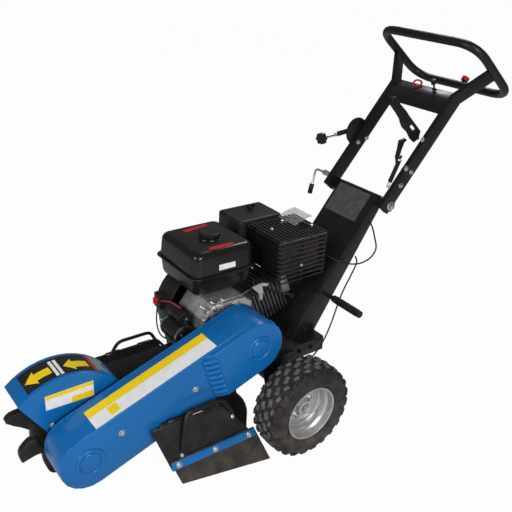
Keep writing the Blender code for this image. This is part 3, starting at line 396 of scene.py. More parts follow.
carcass_half = (
    (0.0905, 0.041), (0.0935, 0.048), (0.0975, 0.0535), (0.1035, 0.058), (0.1105, 0.0604),
    (0.1125, 0.062), (0.115, 0.0622), (0.1168, 0.0606), (0.129, 0.0612), (0.139, 0.0594),
    (0.1465, 0.0556), (0.152, 0.049), (0.1553, 0.038), (0.1568, 0.02),
)
tread_rows = (
    (0.0125, 0.1575, 0.0, 0.0305, 0.0165, 24.0, 0.0), (-0.0125, 0.1575, 0.0, 0.0305, 0.0165, 24.0, 0.5),
    (0.033, 0.156, 9.0, 0.024, 0.015, -16.0, 0.45), (-0.033, 0.156, -9.0, 0.024, 0.015, -16.0, 0.95),
    (0.0515, 0.1478, 52.0, 0.0215, 0.026, 8.0, 0.0), (-0.0515, 0.1478, -52.0, 0.0215, 0.026, 8.0, 0.5),
)
blocks_round = 23
wheel_out = 0.285


def tread_block(length, width):
    """One moulded block, narrower at its top."""
    put_down()
    bpy.ops.mesh.primitive_cube_add(size=1.0, location=(0.0, 0.0, 0.0))
    piece = bpy.context.active_object
    take_up(piece)
    pick_all()
    bpy.ops.transform.resize(value=(length, width, 0.0115))
    bpy.ops.mesh.select_all(action="DESELECT")
    leave_edit()
    for face in piece.data.polygons:
        face.select = face.normal.z > 0.9
    bpy.ops.object.mode_set(mode="EDIT")
    bpy.ops.transform.resize(value=(0.8, 0.76, 1.0))
    cut_edges(0.0016, 2)
    return closed_up(piece)


for side, sign in (("left", 1.0), ("right", -1.0)):
    hub = Vector((0.0, sign * wheel_out, axle_height))
    section = [(r, -a) for r, a in carcass_half] + list(reversed(carcass_half)) + [(0.0905, -0.041)]
    carcass = turned(section, hub, 96)
    take_up(carcass, "OBJECT")
    bpy.ops.object.shade_smooth()
    tread = [carcass]
    for out, radius, tilt, length, width, twist, phase in tread_rows:
        lie = Matrix.Rotation(math.radians(-sign * tilt), 4, "X")
        lie = lie @ Matrix.Rotation(math.radians(twist), 4, "Z")
        places = []
        for i in range(blocks_round):
            roll = Matrix.Rotation(2 * math.pi * (i + phase) / blocks_round, 4, "Y")
            seat = Matrix.Translation((0.0, sign * out, radius))
            places.append(Matrix.Translation(hub) @ roll @ seat @ lie)
        tread.append(copies(tread_block(length, width), places))
    tyre = joined(tread)
    fitted(tyre, f"{side}_tyre", tyre_rubber, f"wheel_{side}", [f"tyre_{side}"])

    dish = (
        (0.094, 0.054), (0.0946, 0.0522), (0.0905, 0.0496), (0.09, 0.03), (0.084, 0.0262),
        (0.08, 0.0205), (0.08, -0.0205), (0.084, -0.0262), (0.09, -0.03), (0.0905, -0.0496),
        (0.0946, -0.0522), (0.094, -0.054), (0.0925, -0.0545), (0.089, -0.053), (0.088, -0.031),
        (0.0825, -0.0275), (0.077, -0.0215), (0.0765, -0.006), (0.06, -0.009), (0.026, -0.011),
        (0.0255, -0.0445), (0.0132, -0.0445), (0.0132, 0.022), (0.0225, 0.022), (0.0262, 0.0205),
        (0.0275, 0.012), (0.03, 0.0068), (0.046, 0.006), (0.05, 0.0066), (0.062, 0.0036),
        (0.072, 0.0012), (0.0762, 0.004), (0.0775, 0.0215), (0.0825, 0.0272), (0.088, 0.031),
        (0.0888, 0.0525), (0.0922, 0.0545), (0.094, 0.054),
    )
    rim = turned([(r, sign * a) for r, a in dish], hub, 72)
    take_up(rim, "OBJECT")
    smoothed(40.0)
    valve_foot = hub + Vector((0.048, sign * 0.001, 0.048))
    valve = rod(valve_foot, valve_foot + Vector((-0.006, sign * 0.024, -0.006)), 0.0036, 12, 0.0006)
    fitted([rim, valve], f"{side}_rim", silver_lacquer, f"wheel_{side}", [f"rim_{side}"])
    nuts = []
    for i in range(4):
        turn = math.radians(45.0 + 90.0 * i)
        seat = hub + Vector((0.036 * math.cos(turn), sign * 0.0055, 0.036 * math.sin(turn)))
        out = Vector((0.0, sign, 0.0))
        nuts.append(rod(seat, seat + out * 0.0022, 0.0098, 24, 0.0004))
        nuts.append(rod(seat + out * 0.002, seat + out * 0.0108, 0.0078, 6, 0.0008))
        nuts.append(rod(seat + out * 0.009, seat + out * 0.015, 0.0044, 16, 0.0006))
    fitted(nuts, f"{side}_wheel_nuts", zinc, f"wheel_{side}")

# Axle: a bright bar right through both wheels, with a locked nut outside each hub.


def dressed(node, name, paint, edge=0.0011, segments=2, body="chassis", slot=""):
    """The solid's own shape as whole faces, with its edges broken, standing for it."""
    put_down()
    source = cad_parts[node]
    piece = linked(name, source.data.copy())
    take_up(piece)
    pick_all()
    bpy.ops.mesh.customdata_custom_splitnormals_clear()
    bpy.ops.mesh.remove_doubles(threshold=0.00002)
    bpy.ops.mesh.dissolve_limited(angle_limit=math.radians(0.8))
    leave_edit()
    if edge:
        broken_edges(piece, edge, segments)
    else:
        smoothed()
    return fitted(piece, name, paint, body, [node], slot, level=False)


def bolts(name, spots, size=0.0075, paint=zinc, body="chassis"):
    """Hexagon bolts on washers; each spot is a place and the way its head faces."""
    washer = rod((0.0, 0.0, 0.0), (0.0, 0.0, 0.0018), size * 1.2, 24, 0.0003)
    head = rod((0.0, 0.0, 0.0015), (0.0, 0.0, 0.0015 + size * 0.66), size * 0.88, 6, 0.0007)
    places = []
    for place, way in spots:
        turn = Vector(way).to_track_quat("Z", "Y").to_matrix().to_4x4()
        places.append(Matrix.Translation(place) @ turn)
    return fitted(copies(joined([washer, head]), places), name, paint, body)


left, right, up = (0, 1, 0), (0, -1, 0), (0, 0, 1)


def round_about(x, y, z, radius, turns):
    """Places on an upright circle that faces sideways, one at each turn in degrees."""
    places = []
    for turn in turns:
        a = math.radians(turn)
        places.append((x + radius * math.cos(a), y, z + radius * math.sin(a)))
    return places



dressed("axle", "axle_bar", zinc, 0.001)

# Deck: a folded steel tray, black powder coated, with the hangers that hold the axle.

black_coat = finish(
    "black_powder_coat", "black_paint", (0.007, 0.007, 0.0075), (0.0115, 0.0115, 0.012), (0.26, 0.42),
    cloud=6.0, grain=620.0, relief=0.2, depth=0.0003, fleck=(0.045, 0.043, 0.041), fleck_share=0.285,
    dust=0.1,
)
dressed("deck_frame", "deck", black_coat, 0.0016)
dressed("rear_deflector", "deflector", black_coat, 0.0008)
bolts("deck_bolts", [
    ((x, y, z), way)
    for y, way in ((0.1451, left), (-0.1451, right))
    for x, z in ((-0.15, 0.262), (-0.1, 0.262), (0.11, 0.262))
], 0.0075, black_coat)
bolts("engine_bolts", [((x, y, 0.3032), up) for x in (0.034, 0.236) for y in (-0.08, 0.012)], 0.0085)

# Boom and bearings: two flame-cut arms that carry the cutter shaft in flange bearings of cast
# alloy, each held by three bolts.

cast_alloy = finish(
    "cast_alloy", "cast_aluminium", (0.66, 0.65, 0.63), (0.46, 0.45, 0.44), (0.3, 0.52), metallic=0.75,
    cloud=30.0, grain=900.0, relief=0.55, depth=0.0005, fleck=(0.12, 0.11, 0.1), fleck_share=0.37,
)
dressed("cutter_boom", "boom", black_coat, 0.0012)
for side, way in (("left", left), ("right", right)):
    dressed(f"bearing_{side}", f"{side}_bearing", cast_alloy, 0.0008)
    spots = [(p, way) for p in round_about(0.695, way[1] * 0.0772, 0.2, 0.033, (90.0, 210.0, 330.0))]
    bolts(f"{side}_bearing_bolts", spots, 0.0052)

# Cutter: a steel disc with forged claws that point the way it turns, on a ground shaft. The claws
# are left dark from the forge and are pitted where they have cut.

claw_steel = finish(
    "claw_steel", "dark_steel", (0.01, 0.0095, 0.0095), (0.026, 0.024, 0.023), (0.34, 0.58),
    metallic=0.35, cloud=24.0, grain=300.0, relief=0.6, depth=0.0008, fleck=(0.13, 0.12, 0.11),
    fleck_share=0.31, dust=0.2,
)
dark_steel = finish(
    "oiled_steel", "dark_steel", (0.03, 0.028, 0.027), (0.06, 0.054, 0.05), (0.34, 0.6), metallic=0.7,
    cloud=26.0, grain=800.0, relief=0.3, fleck=(0.16, 0.11, 0.07), fleck_share=0.33,
)
cutter_middle = Vector((0.695, 0.0, 0.2))
dressed("cutter_wheel", "claw_disc", claw_steel, 0.0022, 3, "cutter")
dressed("cutter_shaft", "cutter_axle", zinc, 0.001, body="cutter")
spots = []
for i in range(6):
    a = math.radians(20.0 + 60.0 * i)
    spots.append((cutter_middle + Vector((0.06 * math.cos(a), 0.0097, 0.06 * math.sin(a))), left))
    spots.append((cutter_middle + Vector((0.06 * math.cos(a), -0.0097, 0.06 * math.sin(a))), right))
bolts("claw_bolts", spots, 0.0075, body="cutter")

# Hood: a rolled band welded between two cheeks, in gloss blue.
# Plain decals lie on it: arrows that show which way the cutter turns, and a blank plate.

blue_coat = finish(
    "blue_powder_coat", "blue_paint", (0.0022, 0.112, 0.34), (0.0035, 0.126, 0.375), (0.2, 0.34),
    cloud=5.0, grain=520.0, relief=0.14, depth=0.0003, fleck=(0.03, 0.17, 0.36), fleck_share=0.282,
    dust=0.04, sheen=0.3,
)
vinyl_black = finish(
    "vinyl_black", "black_plastic", (0.012, 0.012, 0.012), (0.02, 0.02, 0.02), (0.24, 0.36), cloud=50.0,
)
vinyl_white = finish(
    "vinyl_white", "silver_paint", (0.8, 0.8, 0.79), (0.72, 0.72, 0.71), (0.26, 0.4), cloud=50.0,
)
vinyl_yellow = finish(
    "vinyl_yellow", "blue_paint", (0.88, 0.63, 0.01), (0.82, 0.57, 0.01), (0.26, 0.4), cloud=50.0,
)
vinyl_red = finish(
    "vinyl_red", "red_plastic", (0.5, 0.018, 0.018), (0.42, 0.016, 0.016), (0.26, 0.4), cloud=50.0,
)
vinyl_green = finish(
    "vinyl_green", "blue_paint", (0.16, 0.3, 0.24), (0.14, 0.26, 0.21), (0.26, 0.4), cloud=50.0,
)
hood_radius = 0.205

dressed("cutter_hood", "hood", blue_coat, 0.0016)


def skinned(piece, thickness, side):
    """The surface given a thickness to one side of it."""
    take_up(piece, "OBJECT")
    skin = piece.modifiers.new("skin", "SOLIDIFY")
    skin.thickness = thickness
    skin.offset = side
    bpy.ops.object.modifier_apply(modifier="skin")


def hood_decal(name, columns, paint, lift):
    """A decal on the band, given as columns of (angle, near edge, far edge)."""
    put_down()
    points, faces = [], []
    r = hood_radius + lift
    for angle, low, high in columns:
        a = math.radians(angle)
        for y in (low, high):
            points.append(cutter_middle + Vector((r * math.cos(a), y, r * math.sin(a))))
    for i in range(len(columns) - 1):
        faces.append((2 * i, 2 * i + 1, 2 * i + 3, 2 * i + 2))
    mesh = bpy.data.meshes.new(name)
    mesh.from_pydata([tuple(p) for p in points], [], faces)
    piece = linked(name, mesh)
    skinned(piece, 0.0003, 1.0)
    take_up(piece)
    closed_up(piece)
    smoothed()
    return fitted(piece, name, paint)


def straight(start, end, low, high):
    steps = max(2, round(abs(end - start) / 2.5))
    return [(start + (end - start) * i / steps, low, high) for i in range(steps + 1)]


def arrow(tip, neck, tail, middle, half, shaft):
    """Columns of an arrow that points from its tail to its tip."""
    head = [(tip + (neck - tip) * t, middle - half * t, middle + half * t) for t in (0.02, 0.35, 0.7, 1.0)]
    return head + straight(neck + 0.01, tail, middle - shaft, middle + shaft)


hood_decal("hood_field", straight(59.0, 117.0, -0.046, 0.048), vinyl_black, 0.0003)
hood_decal("hood_arrow_front", arrow(61.0, 70.5, 83.0, 0.006, 0.03, 0.016), vinyl_yellow, 0.0007)
hood_decal("hood_arrow_back", arrow(93.5, 102.0, 114.5, 0.008, 0.03, 0.016), vinyl_yellow, 0.0007)
hood_decal("hood_bar_front", straight(84.6, 87.2, -0.034, 0.044), vinyl_white, 0.0007)
hood_decal("hood_bar_back", straight(88.4, 91.0, -0.034, 0.044), vinyl_white, 0.0007)
hood_decal("hood_end_red", straight(117.2, 121.0, -0.046, 0.048), vinyl_red, 0.0003)
hood_decal("hood_end_green", straight(121.2, 130.5, -0.046, 0.036), vinyl_green, 0.0003)


def plate_on(name, corners, paint, push):
    """A thin flat plate from its corner points, pushed out by its thickness."""
    piece = drawn(corners)
    bpy.ops.mesh.edge_face_add()
    bpy.ops.mesh.extrude_region_move(TRANSFORM_OT_translate={"value": Vector(push)})
    closed_up(piece)
    return fitted(piece, name, paint)


for name, y, paint, corners in (
    ("cheek_plate", 0.0601, vinyl_white,
     ((0.76, 0.36), (0.6155, 0.362), (0.6155, 0.3096), (0.76, 0.3125))),
    ("cheek_stripe", 0.0603, vinyl_yellow,
     ((0.759, 0.3595), (0.6165, 0.3613), (0.6165, 0.3483), (0.759, 0.3465))),
    ("cheek_patch", 0.0603, vinyl_yellow,
     ((0.683, 0.331), (0.617, 0.3318), (0.617, 0.3106), (0.683, 0.3108))),
):
    plate_on(name, [(x, y, z) for x, z in corners], paint, (0.0, 0.0004, 0.0))
bolts("hood_bolts", [
    ((0.744, 0.0602, 0.255), left), ((0.616, 0.0602, 0.264), left),
    ((0.744, -0.0602, 0.255), right), ((0.616, -0.0602, 0.264), right),
], 0.0095)

# Belt case: a pressed blue cover over the drive, deeper at the crank end, where seven louvres run
# down the step. Round embossings stand over both pulleys, and bolts hold it to its back plate.

case_low, case_high = Vector((0.695, 0.0, 0.2)), Vector((0.135, 0.0, 0.395))
case_radius, case_face, raised_face = 0.0885, 0.2, 0.222
case_along = (case_high - case_low).normalized()
case_up = Vector((-case_along.z, 0.0, case_along.x)) * -1.0
step_foot, step_top = 0.411, 0.447
dressed("belt_back_plate", "belt_case_back", blue_coat, 0.001)
dressed("belt_cover", "belt_case", blue_coat, 0.0028, 3)
dome = (
    (0.0, -0.001), (0.045, -0.001), (0.0444, 0.0012), (0.0425, 0.0042), (0.039, 0.0054), (0.0356, 0.0044),
    (0.0338, 0.0016), (0.0316, 0.0016), (0.0294, 0.0046), (0.026, 0.0054), (0.0, 0.0056),
)
for name, middle, face in (
    ("emboss_cutter", case_low, case_face), ("emboss_crank", case_high, raised_face),
):
    piece = turned(dome, middle + Vector((0.0, face, 0.0)), 64)
    smoothed(50.0)
    fitted(piece, name, blue_coat)
louvres = []
slope = (case_along * (step_top - step_foot) + Vector((0.0, raised_face - case_face, 0.0))).normalized()
slope_out = slope.cross(case_up).normalized()
slope_out = slope_out if slope_out.y > 0 else -slope_out
slope_turn = Matrix((slope, case_up, slope_out)).transposed().to_4x4()
for i in range(7):
    middle = case_low + case_along * (step_foot + step_top) / 2 + case_up * 0.0215 * (i - 3)
    middle += Vector((0.0, (case_face + raised_face) / 2, 0.0)) + slope_out * 0.0004
    put_down()
    lying = (0.0, math.pi / 2, 0.0)
    bpy.ops.mesh.primitive_cylinder_add(vertices=28, radius=0.0088, depth=0.046, rotation=lying)
    rib = bpy.context.active_object
    bpy.ops.object.transform_apply(rotation=True)
    broken_edges(rib, 0.005, 4)
    take_up(rib)
    pick_all()
    bpy.ops.transform.resize(value=(1.0, 1.0, 0.8), center_override=(0.0, 0.0, 0.0))
    leave_edit()
    rib.data.transform(Matrix.Translation(middle) @ slope_turn)
    louvres.append(rib)
fitted(louvres, "belt_case_louvres", blue_coat)
label_face = case_low + case_up * (case_radius + 0.0001)
for name, start, end, near, far, lift, paint in (
    ("belt_label_yellow", 0.056, 0.4715, 0.112, 0.145, 0.0, vinyl_yellow),
    ("belt_label_white", 0.056, 0.4715, 0.145, 0.1965, 0.0, vinyl_white),
    ("belt_label_patch", 0.112, 0.142, 0.15, 0.185, 0.0004, vinyl_yellow),
):
    corners = [label_face + case_along * s + Vector((0.0, y, 0.0)) + case_up * lift
               for s, y in ((start, near), (end, near), (end, far), (start, far))]
    plate_on(name, corners, paint, case_up * 0.0004)
bolts("belt_case_bolts", [
    ((0.598, case_face + 0.0001, 0.26), left), ((0.354, case_face + 0.0001, 0.314), left),
], 0.0085)

# Drive inside the case: turned pulleys on the crank and the cutter shaft, one flat belt, and the
# sprung arm with its idler that takes up the slack.

flap_rubber = finish(
    "flap_rubber", "flap_rubber", (0.02, 0.017, 0.015), (0.034, 0.029, 0.026), (0.55, 0.8), cloud=16.0,
    grain=420.0, relief=0.4, dust=0.22,
)
dressed("cutter_pulley", "driven_pulley", dark_steel, 0.0006, body="cutter")
dressed("drive_pulley", "crank_pulley", dark_steel, 0.0006, body="crank")
dressed("idler_arm", "tensioner", dark_steel, 0.0006, body="belt_tensioner")
dressed("idler_pulley", "idler", zinc, 0.0006, body="belt_idler")
dressed("drive_belt", "belt", flap_rubber, 0.0005)

# Side guards: steel plates that hang from a bent bar on two knuckles, each with a loop to lift it
# by and a rubber flap clamped under a blue strip with three bolts.

guard_tilt = math.radians(19.0)
for side, sign in (("left", 1.0), ("right", -1.0)):
    body = f"guard_{side}"
    dressed(f"guard_bar_{side}", f"{side}_guard_bar", black_coat, 0.0)
    dressed(f"side_guard_{side}", f"{side}_guard", black_coat, 0.0005, body=body)
    dressed(f"guard_flap_{side}", f"{side}_flap", flap_rubber, 0.0008, body=body)
    dressed(f"flap_strip_{side}", f"{side}_strip", blue_coat, 0.0007, body=body)
    hang = Matrix.Translation((0.0, sign * 0.209, 0.24)) @ Matrix.Rotation(sign * guard_tilt, 4, "X")
    face_out = hang.to_3x3() @ Vector((0.0, sign, 0.0))
    spots = [(hang @ Vector((x, sign * 0.0173, -0.1315)), face_out) for x in (0.196, 0.322, 0.45)]
    bolts(f"{side}_flap_bolts", spots, 0.0082, body=body)
    spots = [(hang @ Vector((x, sign * 0.0087, -z)), face_out) for x, z in ((0.432, 0.111), (0.24, 0.057))]
    bolts(f"{side}_loop_bolts", spots, 0.0055, body=body)
    collars = []
    for x, y, z in ((0.262, 0.0785 if sign > 0 else 0.101, 0.24), (0.478, 0.0725, 0.168)):
        collars.append(rod((x, sign * y, z), (x, sign * (y + 0.004), z), 0.0095, 20, 0.0006))
    fitted(collars, f"{side}_guard_bar_welds", black_coat)

# Column: a folded channel bolted to the deck, with a blank grey plate on its face and the tube at
# its head that the handle turns on.

grey_plate = finish(
    "grey_plate", "silver_paint", (0.06, 0.062, 0.066), (0.085, 0.088, 0.092), (0.3, 0.44), cloud=45.0,
    relief=0.1,
)
dressed("column", "column_channel", black_coat, 0.0016)
column_foot, column_head = Vector((-0.086, 0.0, 0.2893)), Vector((-0.443, 0.0, 0.752))
column_along = (column_head - column_foot).normalized()
column_out = Vector((column_along.z, 0.0, -column_along.x))
corners = [column_foot + column_along * s + Vector((0.0, y, 0.0)) + column_out * 0.0001
           for s, y in ((0.576, -0.088), (0.576, 0.066), (0.466, 0.066), (0.466, -0.088))]
plate_on("blank_plate", corners, grey_plate, column_out * 0.0006)
spots = []
for y in (-0.075, 0.075):
    spots.append((column_foot + column_along * 0.03 + Vector((0.0, y, 0.0)), column_out))
bolts("column_foot_bolts", spots, 0.0085, black_coat)
bolts("column_side_bolts", [
    ((x, sign * 0.1001, z), (0, sign, 0)) for sign in (1, -1) for x, z in ((-0.15, 0.312), (-0.188, 0.312))
], 0.0075, black_coat)

# Handle: two bent box-section posts on the head tube, joined by a folded shelf and a closed loop
# of round tube in a smooth foam sleeve. All of it folds forward about the head tube.

grip_foam = finish(
    "grip_foam", "grip_foam", (0.0085, 0.0085, 0.0085), (0.013, 0.013, 0.013), (0.26, 0.42), cloud=18.0,
    grain=1200.0, relief=0.25, depth=0.0003,
)
moulded_black = finish(
    "moulded_black", "black_plastic", (0.0085, 0.0085, 0.0085), (0.014, 0.0135, 0.013), (0.34, 0.52),
    cloud=12.0, grain=1500.0, relief=0.25, depth=0.0002,
)
moulded_red = finish(
    "moulded_red", "red_plastic", (0.5, 0.012, 0.012), (0.4, 0.01, 0.01), (0.28, 0.44), cloud=40.0,
    grain=1500.0, relief=0.1,
)
for side in ("left", "right"):
    dressed(f"handle_post_{side}", f"{side}_post", black_coat, 0.0012, body="handle")
dressed("cross_plate", "cross_shelf", black_coat, 0.0006, body="handle")
bar_front, bar_rear = Vector((-0.679, 0.0, 1.2595)), Vector((-0.92, 0.0, 1.071))
bar_half, bar_radius, bar_bend = 0.2165, 0.0155, 0.085


def bent_line(corners, bend, steps, closed=False):
    """Points along straight runs with a bend at each corner."""
    corners = [Vector(c) for c in corners]
    path = []
    for i, corner in enumerate(corners):
        if not closed and i in (0, len(corners) - 1):
            path.append(corner)
            continue
        before, after = corners[i - 1] - corner, corners[(i + 1) % len(corners)] - corner
        reach = min(bend, before.length * 0.49, after.length * 0.49)
        first, last = corner + before.normalized() * reach, corner + after.normalized() * reach
        for k in range(steps + 1):
            t = k / steps
            path.append(first * (1 - t) ** 2 + corner * 2 * t * (1 - t) + last * t**2)
    return path


def swept(name, path, radius, resolution, closed=False):
    """A round line through the points of a path."""
    put_down()
    line = bpy.data.curves.new(name, "CURVE")
    line.dimensions = "3D"
    line.bevel_depth = radius
    line.bevel_resolution = resolution
    line.use_fill_caps = not closed
    run = line.splines.new("POLY")
    run.points.add(len(path) - 1)
    run.use_cyclic_u = closed
    for point, place in zip(run.points, path):
        point.co = (*place, 1.0)
    return linked(name, line)


def tube_along(path, radius, sides=16, closed=False):
    """Round bar or hose swept along a path and made a mesh."""
    piece = swept("tube", path, radius, sides // 4, closed)
    take_up(piece, "OBJECT")
    bpy.ops.object.convert(target="MESH")
    piece = bpy.context.active_object
    take_up(piece)
    closed_up(piece)
    smoothed(50.0)
    return piece


loop_corners = []
for bar, sign in ((bar_front, 1), (bar_front, -1), (bar_rear, -1), (bar_rear, 1)):
    loop_corners.append((bar.x, sign * bar_half, bar.z))
loop = tube_along(bent_line(loop_corners, bar_bend, 14, closed=True), bar_radius - 0.0005, 24, closed=True)
loop_across = (bar_front - bar_rear).normalized()
loop_normal = Vector((-loop_across.z, 0.0, loop_across.x))
stub_foot, stub_end = bar_rear + loop_normal * 0.005, bar_rear + loop_normal * (bar_radius + 0.012)
stub = rod(stub_foot, stub_end, 0.0084, 20, 0.0006)
fitted([loop, stub], "loop_bar", grip_foam, "handle", ["handlebar"])

post_bolts = [
    ((x, 0.1481, z), left)
    for x, z in ((-0.566, 0.948), (-0.505, 0.855), (-0.533, 0.838), (-0.49, 0.797))
]
post_bolts += [((x, -0.1294, z), left) for x, z in ((-0.544, 0.87), (-0.586, 0.88))]
bolts("post_bolts", post_bolts, 0.0075, body="handle")
pivot_bolts = [((-0.453, way[1] * 0.1481, 0.729), way) for way in (left, right)]
bolts("pivot_bolts", pivot_bolts, 0.0135, body="handle")
put_down()
bpy.ops.mesh.primitive_torus_add(
    location=(-0.7225, -0.04, 1.09), rotation=Vector((0.4, 0.3, 0.85)).to_track_quat("Z", "Y").to_euler(),
    major_radius=0.014, minor_radius=0.0034, major_segments=36, minor_segments=10,
)
ring = bpy.context.active_object
settled()
bpy.ops.object.shade_smooth()
fitted(ring, "pull_ring", moulded_red, "handle")
dressed("stop_button", "stop_cap", moulded_red, 0.0014, 3, "stop_button")
dressed("throttle_toggle", "throttle_knob", moulded_black, 0.0008, body="throttle_lever")

# Levers on the posts: the brake lever with its quadrant and star knob, the over-centre lever that
# tightens the belt through a screwed link, and the cranked clamp that locks the handle.

dressed("brake_quadrant", "quadrant", moulded_black, 0.0008, body="handle")
dressed("brake_lever", "brake_handle", moulded_black, 0.0006, body="brake_lever")
lever_y = -0.1718
lever_start, lever_tip = Vector((-0.552, lever_y, 0.906)), Vector((-0.402, lever_y, 0.891))
lever_way = (lever_tip - lever_start).normalized()
bright = [
    rod(lever_start + lever_way * 0.079, lever_tip - lever_way * 0.0095, 0.005, 20, 0.0005),
    rod(lever_start + lever_way * 0.08, lever_start + lever_way * 0.09, 0.008, 6, 0.0006),
    rod(lever_tip - lever_way * 0.018, lever_tip - lever_way * 0.0095, 0.008, 6, 0.0006),
]
fitted(bright, "brake_lever_rod", zinc, "brake_lever")
spots = [(p, right) for p in round_about(-0.552, -0.1544, 0.906, 0.04, (150.0, 90.0, 30.0))]
bolts("quadrant_bolts", spots, 0.0042, body="handle")

dressed("engage_lever", "drive_lever", black_coat, 0.0012, 3, "engage_lever", "dark_steel")
bolts("drive_lever_bolt", [((-0.5664, 0.1118, 0.948), right)], 0.0065, body="engage_lever")
dressed("tension_rod", "tension_screw", black_coat, 0.0008, body="tension_link", slot="dark_steel")
screw_low = Vector((-0.464, 0.113, 0.783))
screw_way = Vector((-0.07, 0.0, 0.15)).normalized()
bright = [rod(screw_low + screw_way * 0.001, screw_low + screw_way * 0.0195, 0.0044, 20, 0.0005)]
for i in range(6):
    at = 0.003 + 0.0026 * i
    bright.append(rod(screw_low + screw_way * at, screw_low + screw_way * (at + 0.0012), 0.005, 20))
bright.append(rod(screw_low + screw_way * 0.0985, screw_low + screw_way * 0.104, 0.0078, 6, 0.0006))
fitted(bright, "tension_screw_thread", zinc, "tension_link")

dressed("clamp_crank", "clamp_screw", zinc, 0.0005, body="handle_clamp")
grip = rod((-0.4327, -0.2379, 0.693), (-0.4253, -0.2391, 0.655), 0.0091, 24, 0.002)
fitted(grip, "clamp_grip", moulded_black, "handle_clamp")

dressed("lock_bar", "lock_handle", moulded_black, 0.0014, 3, "lock_bar")
ribs = [rod((-0.208, 0.182 + 0.01 * i, 0.449), (-0.208, 0.187 + 0.01 * i, 0.449), 0.0132, 24, 0.0009)
        for i in range(11)]
fitted(ribs, "lock_grip_ribs", moulded_black, "lock_bar")

# Engine block: crankcase and finned cylinder cast in alloy, with a bolted side cover, an oil
# filler, the head's bright cover and a spark plug with its lead.

crank_x, crank_z = 0.135, 0.395
silver_case = finish(
    "silver_case", "silver_paint", (0.5, 0.5, 0.51), (0.38, 0.38, 0.39), (0.28, 0.46), metallic=0.8,
    cloud=16.0, grain=1200.0, relief=0.2, fleck=(0.2, 0.2, 0.2), fleck_share=0.34,
)
dressed("crankcase", "crankcase_casting", cast_alloy, 0.003, 3)
case_spots = []
for x, z in ((0.066, 0.318), (0.062, 0.38), (0.066, 0.44), (0.12, 0.466), (0.19, 0.464), (0.221, 0.42),
             (0.224, 0.358), (0.205, 0.316)):
    case_spots.append(((x, 0.0502, z), left))
bolts("case_bolts", case_spots, 0.0058)
webs = []
web_turns = (25.0, 70.0, 115.0, 160.0, 205.0, 335.0)
web_feet = round_about(crank_x, 0.0535, crank_z, 0.04, web_turns)
for foot, end in zip(web_feet, round_about(crank_x, 0.0515, crank_z, 0.074, web_turns)):
    webs.append(rod(foot, end, 0.004, 12, 0.001))
fitted(webs, "case_webs", cast_alloy)
filler = rod((0.236, 0.02, 0.352), (0.262, 0.026, 0.372), 0.0115, 24, 0.0012)
cap = rod((0.258, 0.0252, 0.369), (0.268, 0.0274, 0.377), 0.015, 12, 0.0016)
fitted([filler, cap], "oil_filler", moulded_black)
bosses = []
boss_places = ((0.214, 0.462, 0.0125), (0.164, 0.473, 0.01), (0.105, 0.462, 0.011), (0.232, 0.44, 0.008))
for x, z, radius in boss_places:
    bosses.append(rod((x, 0.036, z), (x, 0.06, z), radius, 24, 0.002))
for x, z in ((0.228, 0.478), (0.19, 0.4835), (0.15, 0.4835)):
    bosses.append(rod((x, 0.02, z - 0.004), (x - 0.016, 0.046, z - 0.014), 0.0052, 16, 0.0012))
fitted(bosses, "case_bosses", cast_alloy)

# A darker alloy for the cylinder than for the crankcase, even all over; it is not soot.
cast_dark = finish(
    "dark_cast_alloy", "cast_aluminium", (0.2, 0.2, 0.195), (0.1, 0.1, 0.098), (0.36, 0.6), metallic=0.8,
    cloud=30.0, grain=900.0, relief=0.5, depth=0.0005, fleck=(0.05, 0.045, 0.04), fleck_share=0.37,
)
dressed("cylinder", "cylinder_casting", cast_dark, 0.0008)
shroud = [(x, 0.0505, z) for x, z in (
    (0.05, 0.508), (0.01, 0.513), (-0.02, 0.504), (-0.013, 0.496), (0.008, 0.501), (0.002, 0.476),
    (0.004, 0.452), (0.014, 0.448), (0.022, 0.48), (0.038, 0.494),
)]
plate_on("cylinder_shroud", shroud, cast_alloy, (0.0, 0.0016, 0.0))
link_route = (
    (0.176, 0.046, 0.484), (0.15, 0.054, 0.492), (0.098, 0.056, 0.494), (0.04, 0.044, 0.5),
    (0.01, 0.01, 0.508),
)
linkage = [
    tube_along(link_route, 0.0016, 8),
    rod((0.176, 0.04, 0.478), (0.176, 0.052, 0.492), 0.005, 16, 0.0008),
]
fitted(linkage, "governor_linkage", zinc)
dressed("rocker_cover", "rocker_box", silver_case, 0.004, 3)
head_lean = math.radians(22.0)
head_way = Vector((-math.cos(head_lean), 0.0, math.sin(head_lean)))
head_face = Vector((0.0452, 0.0, 0.385)) + head_way * 0.1982
head_up = Vector((-math.sin(head_lean), 0.0, -math.cos(head_lean)))
spots = []
for u in (-0.026, 0.024):
    for y in (-0.066, -0.004):
        spots.append((head_face + head_up * u + Vector((0.0, y, 0.0)), head_way))
bolts("rocker_bolts", spots, 0.0058)
plug_foot = Vector((0.0452, 0.0, 0.385)) + head_way * 0.15 + Vector((0.0, 0.03, 0.0))
plug = rod(plug_foot, plug_foot + Vector((-0.004, 0.03, 0.004)), 0.0075, 6, 0.0008)
boot_foot = plug_foot + Vector((-0.003, 0.022, 0.003))
boot = rod(boot_foot, plug_foot + Vector((-0.008, 0.052, 0.006)), 0.0085, 20, 0.002)
fitted(plug, "spark_plug", zinc)
lead = tube_along(bent_line([
    plug_foot + Vector((-0.008, 0.05, 0.006)), plug_foot + Vector((0.002, 0.066, 0.02)),
    plug_foot + Vector((0.04, 0.05, 0.03)), plug_foot + Vector((0.075, 0.0, 0.034)),
], 0.03, 8), 0.0035, 12)
fitted([boot, lead], "plug_lead", moulded_black)

# Fan shroud and recoil starter: black mouldings on the right side, with radial vanes that let the
# cooling air in and a toggle on the starter rope.

